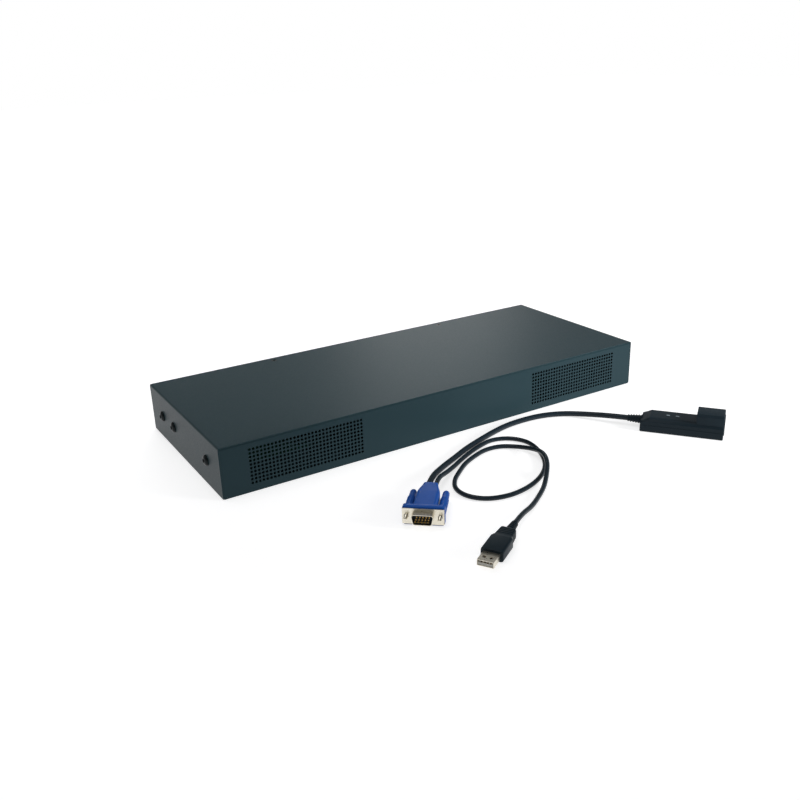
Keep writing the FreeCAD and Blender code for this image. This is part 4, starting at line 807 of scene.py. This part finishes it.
def video_hood():
    """The moulded hood of the video plug: a rim behind its plate, a flat body and a tapering neck.

    Both are rounded rectangles carried along the plug's axis and drawn in at the ends. The neck's
    width falls by the smooth step 3 r^2 - 2 r^3 of the share r of its length.
    """
    level = NECK_LEVEL
    rim_ring = rounded_box(31.4, 15.0, 2.2, 6)
    rim = [(HOOD_START, 0.965, 0.93, 0, level), (HOOD_START + 0.15, 0.985, 0.97, 0, level),
           (HOOD_START + 0.5, 1, 1, 0, level), (-1.3, 1, 1, 0, level),
           (-0.95, 0.985, 0.97, 0, level), (-0.8, 0.965, 0.93, 0, level)]
    body_ring = rounded_box(HOOD_WIDTH, 13.0, 2.6, 8)
    run = np.linspace(0, 1, 12)
    waist = 1 - (1 - NECK_WIDTH / HOOD_WIDTH) * (3 * run ** 2 - 2 * run ** 3)
    neck = [(HOOD_SHOULDER + (HOOD_END - HOOD_SHOULDER) * r, w, 1 - 0.1 * r, 0, level)
            for r, w in zip(run, waist)]
    _, wide, high, _, _ = neck[-1]
    stations = [(HOOD_START + 0.4, 1, 1, 0, level), (HOOD_SHOULDER + 0.5, 1, 1, 0, level)]
    stations += neck[:-1]
    stations += [(HOOD_END + 0.8, wide, high, 0, level),
                 (HOOD_END + 0.25, wide * 0.98, high * 0.97, 0, level),
                 (HOOD_END, wide * 0.93, high * 0.92, 0, level)]
    body = carried(np.array(stations)[::-1], body_ring, video_plug)
    piece("video_hood", [carried(rim, rim_ring, video_plug), body], "blue_plastic", "adapter",
          ["video_plug_hood"])


def shell_dimples():
    """Five small pressed bumps across the roof of the video plug's shell: domes of height
    H cos t over radius R sin t."""
    height, radius = 0.32, 0.75
    t = np.linspace(math.pi / 2, 0, 5)
    dome = np.stack([height * np.cos(t), radius * np.sin(t)], 1)
    profile = np.concatenate([[(-0.2, 0), (-0.2, radius)], dome])
    roof = NECK_LEVEL + SHELL_RISE
    bumps = [aimed(turned(profile, 20), video_plug((3.4, across, roof)), (0, 0, 1))
             for across in (-5.0, -2.5, 0.0, 2.5, 5.0)]
    piece("shell_dimples", bumps, "plug_metal", "adapter")


def thumbscrews():
    """Thumbscrews with a fluted grip: radius r(t) = R - d max(0, cos n t) for n flutes over the
    grip's length, a narrower rounded tail, and the threaded tip that stands out of the plate."""
    for side, body, node in ((-1, "thumbscrew_main", "thumbscrew_main_side"),
                             (1, "thumbscrew_usb", "thumbscrew_usb_side")):
        around = 72
        angle = np.linspace(0, 2 * math.pi, around, endpoint=False)
        flute = FLUTE_DEPTH * np.maximum(0, np.cos(FLUTES * angle))
        run = np.array([
            (KNOB_END, 1.2, 0), (KNOB_END + 0.25, 1.8, 0), (KNOB_END + 0.8, 2.3, 0),
            (KNOB_END + 1.7, 2.6, 0), (KNOB_END + 3.0, 2.7, 0), (KNOB_END + 10.0, 2.8, 0),
            (KNOB_END + 12.0, 3.22, 0), (KNOB_END + 13.0, 3.25, 1), (KNOB_START - 3.5, 3.25, 1),
            (KNOB_START - 2.6, 3.25, 0), (KNOB_START - 0.4, 3.25, 0), (KNOB_START, 2.9, 0),
            (KNOB_START + 0.02, 1.42, 0), (HOOD_START - 0.05, 1.42, 0)])
        radius = run[:, 1, None] - run[:, 2, None] * flute
        points = np.empty((len(run), around, 3))
        points[..., 0] = run[:, None, 0]
        points[..., 1] = radius * np.cos(angle) + side * KNOB_SIDE
        points[..., 2] = radius * np.sin(angle) + NECK_LEVEL
        grip = (video_plug(points.reshape(-1, 3)), tube_faces(len(run), around))
        piece(body + "_grip", [grip], "blue_plastic", body, [node])
        turns = np.arange(0, 5.4, 0.175)
        ridges = 1.36 + 0.1 * np.cos(turns * 2 * math.pi / THREAD_PITCH)
        thread = np.stack([0.1 + turns, ridges], 1)[:-3]
        shank, point = [(-0.7, 0), (-0.7, 1.4), (0.05, 1.4)], [(5.2, 1.1), (5.45, 0.8), (5.5, 0)]
        profile = np.concatenate([shank, thread, point])
        tip = laid(shifted(turned(profile, 24), (0, side * KNOB_SIDE, NECK_LEVEL)), video_plug)
        piece(body + "_tip", [tip], "plug_metal", body, [node])


def usb_grip():
    """The grip of the USB plug: a wide front, a waisted rear with ribs, and a ringed strain relief.

    The body is a rounded rectangle carried along the axis, and its width falls from the front to
    the waist by the smooth step 3 r^2 - 2 r^3.
    """
    level = USB_LEVEL
    waist, rear = -22.2, -33
    ring = rounded_box(16.5, 8.6, 1.9, 7)
    run = np.linspace(0, 1, 6)
    ease = 3 * run ** 2 - 2 * run ** 3
    stations = [(0, 0.965, 0.93), (-0.2, 0.985, 0.97), (-0.6, 1, 1), (-19.0, 1, 1)]
    stations += [(-19.0 - 3.2 * r, 1 - 0.175 * e, 1 - 0.05 * e) for r, e in zip(run[1:], ease[1:])]
    for along in (-24.0, -26.2, -28.4, -30.6):
        share = (along - waist) / (rear - waist)
        wide = 0.825 - 0.12 * share
        stations += [(along + 0.55, wide, 0.95), (along + 0.4, wide - 0.035, 0.89),
                     (along - 0.4, wide - 0.04, 0.89), (along - 0.55, wide - 0.01, 0.95)]
    stations += [(rear + 0.6, 0.7, 0.94), (rear + 0.15, 0.68, 0.9), (rear, 0.64, 0.85)]
    body = carried([(x, w, h, 0, level) for x, w, h in stations][::-1], ring, usb_plug)
    places = np.linspace(-45.6, -33.4, 62)
    radius = 2.6 + (places - USB_RELIEF) / 13 * 0.9
    relief = ringed(USB_RELIEF, places, radius, 2.2, -0.2, 0.45, 2.3, (-32.8, 3.5))
    relief = laid(shifted(relief, (0, 0, level)), usb_plug)
    piece("usb_grip", [body, relief], "black_plastic", "adapter", ["usb_plug_grip"])


DONGLE_LENGTH = 70.0
DONGLE_HALF = 12.5
DONGLE_SPLIT = 6.5
WEDGE_END = 7.5
WEDGE_LEVEL = 8.6
WEDGE_SHARE = 0.12
TOWER_START = 47.0
JACK_FACE = 53.3
WINDOW_LEVEL = 9.8
WINDOW_HALF = (8.1, 6.8)


def dongle_case():
    """The dongle's case: a low body with bevelled top edges that steps up to a tower at its end.

    Two closed outlines with the same number of points, low and high, are carried along X. The
    step is the flat face between them, the cable's end falls off as a wedge, and the far end
    turns inwards round the jack.
    """
    half, split, groove = DONGLE_HALF, DONGLE_SPLIT, 0.2
    low_side = [(half, 0), (half, split - groove), (half - groove, split), (half, split + groove),
                (half, 10.0), (10.8, 12.0), (9.5, 12.85), (7.5, 13.0)]
    high_side = low_side[:6] + [(10.5, 19.2), (8.7, 21.0)]
    radii = [0.7, 0.02, 0.02, 0.02, 0.5, 1.0, 0.4, 4.0]
    tall_radii = [0.7, 0.02, 0.02, 0.02, 0.5, 0.3, 0.6, 0.6]

    def whole(side):
        """Both sides of the outline from its right half."""
        return [(-y, z) for y, z in side] + [(y, z) for y, z in side[::-1]]

    low_ring = rounded(whole(low_side)[::-1], (radii + radii[::-1])[::-1], 4)
    high_ring = rounded(whole(high_side)[::-1], (tall_radii + tall_radii[::-1])[::-1], 4)
    centre = np.array([0, DONGLE_LEVEL])
    window = np.array([0, WINDOW_LEVEL])
    direction = high_ring - window
    reach = (np.array(WINDOW_HALF) / np.maximum(abs(direction), 1e-9)).min(1)
    window_ring = window + direction * reach[:, None]

    def drawn_in(ring, by):
        """The ring pulled towards its middle, by a distance at its sides."""
        return centre + (ring - centre) * (1 - by / np.array([half, 9.0]))

    wedge = low_ring * 1.0
    wedge[:, 1] = np.minimum(wedge[:, 1], WEDGE_LEVEL + WEDGE_SHARE * (wedge[:, 1] - WEDGE_LEVEL))
    rings = [drawn_in(wedge, 0.7), drawn_in(wedge, 0.25), wedge, low_ring, low_ring, high_ring,
             high_ring, drawn_in(high_ring, 0.2), drawn_in(high_ring, 0.6), window_ring,
             window_ring]
    along = [0, 0.2, 0.7, WEDGE_END, TOWER_START, TOWER_START + 0.01, DONGLE_LENGTH - 0.6,
             DONGLE_LENGTH - 0.2, DONGLE_LENGTH, DONGLE_LENGTH, JACK_FACE]
    stations = [(x, 1, 1) for x in along]
    shell = carried(stations, np.array(rings), dongle)
    piece("dongle_case", [shell], "black_plastic", "adapter", ["dongle_base", "dongle_lid"],
          smooth=25)
    marks = [laid(bar((across, -0.9, 12.9), (across + 3.0, 0.9, 13.06), 0.25), dongle)
             for across in (21.2, 29.1)]
    piece("dongle_lamp_windows", marks, "lamp_plastic", "adapter", ["dongle_lamps"])
    places = np.linspace(-11.8, -0.4, 70)
    radius = 3.1 + (places - DONGLE_RELIEF) / 12 * 1.0
    relief = ringed(DONGLE_RELIEF, places, radius, 2.3, -0.1, 0.5, 2.7, (0.6, 4.1))
    relief = laid(shifted(relief, (0, 0, DONGLE_LEVEL)), dongle)
    piece("dongle_relief_rings", [relief], "black_plastic", "adapter", ["dongle_relief"])
    springs = []
    for contact in range(8):
        across = (contact - 3.5) * CONTACT_PITCH
        stations = [(x, 1, 1, across, z) for x, z in ((58.0, 10.7), (66.5, 13.8), (68.5, 14.0))]
        springs.append(carried(stations, SPRING_SECTION, dongle))
    piece("dongle_jack_springs", springs, "contact_brass", "adapter")


# ---- studio --------------------------------------------------------------------------------

AMBIENT = 0.3
GLOW_START, GLOW_END = 0.25, 1.6
GLOW_NEAR, GLOW_FAR = 0.7, 0.86
SWEEP_TOP, CEILING_START = 0.14, 0.26
CEILING = 0.12
FLOOR_REACH = 6.0
FLOOR_DROP = 0.0003


def larger(tree, one, other):
    """The larger of two outputs."""
    node = tree.nodes.new("ShaderNodeMath")
    node.operation = "MAXIMUM"
    tree.links.new(one, node.inputs[0])
    tree.links.new(other, node.inputs[1])
    return node.outputs[0]


def eased(tree, out, *ends):
    """An output mapped by a smooth step, given as low, high, value at low and value at high."""
    node = tree.nodes.new("ShaderNodeMapRange")
    node.interpolation_type = "SMOOTHSTEP"
    for name, value in zip(RANGE_ENDS, ends):
        node.inputs[name].default_value = value
    tree.links.new(out, node.inputs["Value"])
    return node.outputs["Result"]


def seen_by(tree, socket):
    """Switch a mix by the rays that look at the background: camera, glossy and transmission."""
    path = tree.nodes.new("ShaderNodeLightPath")
    total = path.outputs["Is Camera Ray"]
    for kind in ("Is Glossy Ray", "Is Transmission Ray"):
        total = larger(tree, total, path.outputs[kind])
    tree.links.new(total, socket)


def floor():
    """A wide pale floor that stays white to the eye and keeps the shadow: near the part it glows
    a little less than far away."""
    mesh = bpy.data.meshes.new("floor")
    reach = FLOOR_REACH
    corners = [(-reach, -reach, 0), (reach, -reach, 0), (reach, reach, 0), (-reach, reach, 0)]
    mesh.from_pydata(corners, [], [(0, 1, 2, 3)])
    item = bpy.data.objects.new("floor", mesh)
    item.location.z = -FLOOR_DROP
    bpy.context.collection.objects.link(item)
    material = bpy.data.materials.new("floor_paper")
    material.use_nodes = True
    tree = material.node_tree
    shader = tree.nodes["Principled BSDF"]
    shader.inputs["Base Color"].default_value = (0.55, 0.55, 0.56, 1)
    shader.inputs["Roughness"].default_value = 0.9
    shader.inputs["Specular IOR Level"].default_value = 0.1
    glow = tree.nodes.new("ShaderNodeEmission")
    place = tree.nodes.new("ShaderNodeTexCoord")
    far = tree.nodes.new("ShaderNodeVectorMath")
    far.operation = "LENGTH"
    tree.links.new(place.outputs["Object"], far.inputs[0])
    rise = eased(tree, far.outputs["Value"], GLOW_START, GLOW_END, GLOW_NEAR, GLOW_FAR)
    tree.links.new(rise, glow.inputs["Strength"])
    both = tree.nodes.new("ShaderNodeAddShader")
    choose = tree.nodes.new("ShaderNodeMixShader")
    tree.links.new(shader.outputs[0], both.inputs[0])
    tree.links.new(glow.outputs[0], both.inputs[1])
    seen_by(tree, choose.inputs[0])
    tree.links.new(shader.outputs[0], choose.inputs[1])
    tree.links.new(both.outputs[0], choose.inputs[2])
    tree.links.new(choose.outputs[0], tree.nodes["Material Output"].inputs["Surface"])
    mesh.materials.append(material)


def lamp(name, place, aim, width, height, power, spread=180, mirrored=True):
    """A soft rectangular lamp that points from its place to an aim, with a beam of a spread in
    degrees. It is seen in reflections only if it is mirrored."""
    data = bpy.data.lights.new(name, "AREA")
    data.shape = "RECTANGLE"
    data.size = width
    data.size_y = height
    data.energy = power
    data.spread = math.radians(spread)
    item = bpy.data.objects.new(name, data)
    item.visible_camera = False
    item.visible_glossy = mirrored
    turn = (Vector(aim) - Vector(place)).to_track_quat("-Z", "Y")
    item.matrix_world = Matrix.Translation(place) @ turn.to_matrix().to_4x4()
    bpy.context.collection.objects.link(item)


def world():
    """White to the eye. Reflections see a white sweep to a little above the horizon, under a dim
    ceiling, and as a light it is softer."""
    surround = bpy.data.worlds.new("studio")
    bpy.context.scene.world = surround
    surround.use_nodes = True
    tree = surround.node_tree
    soft = tree.nodes["Background"]
    soft.inputs["Color"].default_value = (1, 1, 1, 1)
    soft.inputs["Strength"].default_value = AMBIENT
    place = tree.nodes.new("ShaderNodeTexCoord")
    split = tree.nodes.new("ShaderNodeSeparateXYZ")
    tree.links.new(place.outputs["Generated"], split.inputs["Vector"])
    fade = eased(tree, split.outputs["Z"], SWEEP_TOP, CEILING_START, 1.0, CEILING)
    path = tree.nodes.new("ShaderNodeLightPath")
    white = tree.nodes.new("ShaderNodeBackground")
    white.inputs["Color"].default_value = (1, 1, 1, 1)
    strength = larger(tree, path.outputs["Is Camera Ray"], fade)
    tree.links.new(strength, white.inputs["Strength"])
    choose = tree.nodes.new("ShaderNodeMixShader")
    seen_by(tree, choose.inputs[0])
    tree.links.new(soft.outputs[0], choose.inputs[1])
    tree.links.new(white.outputs[0], choose.inputs[2])
    tree.links.new(choose.outputs[0], tree.nodes["World Output"].inputs["Surface"])


def lights():
    """A softbox behind that draws the sheen on the cover, a narrow one on the front's right, one
    above, a fill for the rear panel and a faint one on the left."""
    lamp("rear_softbox", (1.62, 2.4, 1.0), (0.05, 0.0, 0.04), 0.7, 0.7, 3.6)
    lamp("right_softbox", (0.55, -0.75, 0.25), (0.1, -0.085, 0.02), 0.25, 0.25, 0.62, 44, False)
    lamp("top_softbox", (-0.35, 0.1, 1.7), (-0.1, 0, 0), 1.0, 1.0, 6.4)
    lamp("rear_fill", (0.45, 1.5, 0.4), (0, 0.085, 0.02), 1.0, 0.6, 8.0, 120, False)
    lamp("left_softbox", (-1.3, 0.2, 0.6), (-0.2, 0, 0), 0.5, 0.6, 0.15)


# ---- the whole scene -----------------------------------------------------------------------

camera()
dress_nodes()
for make in (front_panel, side_screws, countersunk_screws, inlet_screw_heads, jack_contacts,
             usb_contacts, lamp_lenses, rocker_marks, video_hood, shell_dimples, thumbscrews,
             usb_grip, dongle_case, cords):
    make()
floor()
world()
lights()
bpy.context.scene.view_settings.view_transform = "Standard"
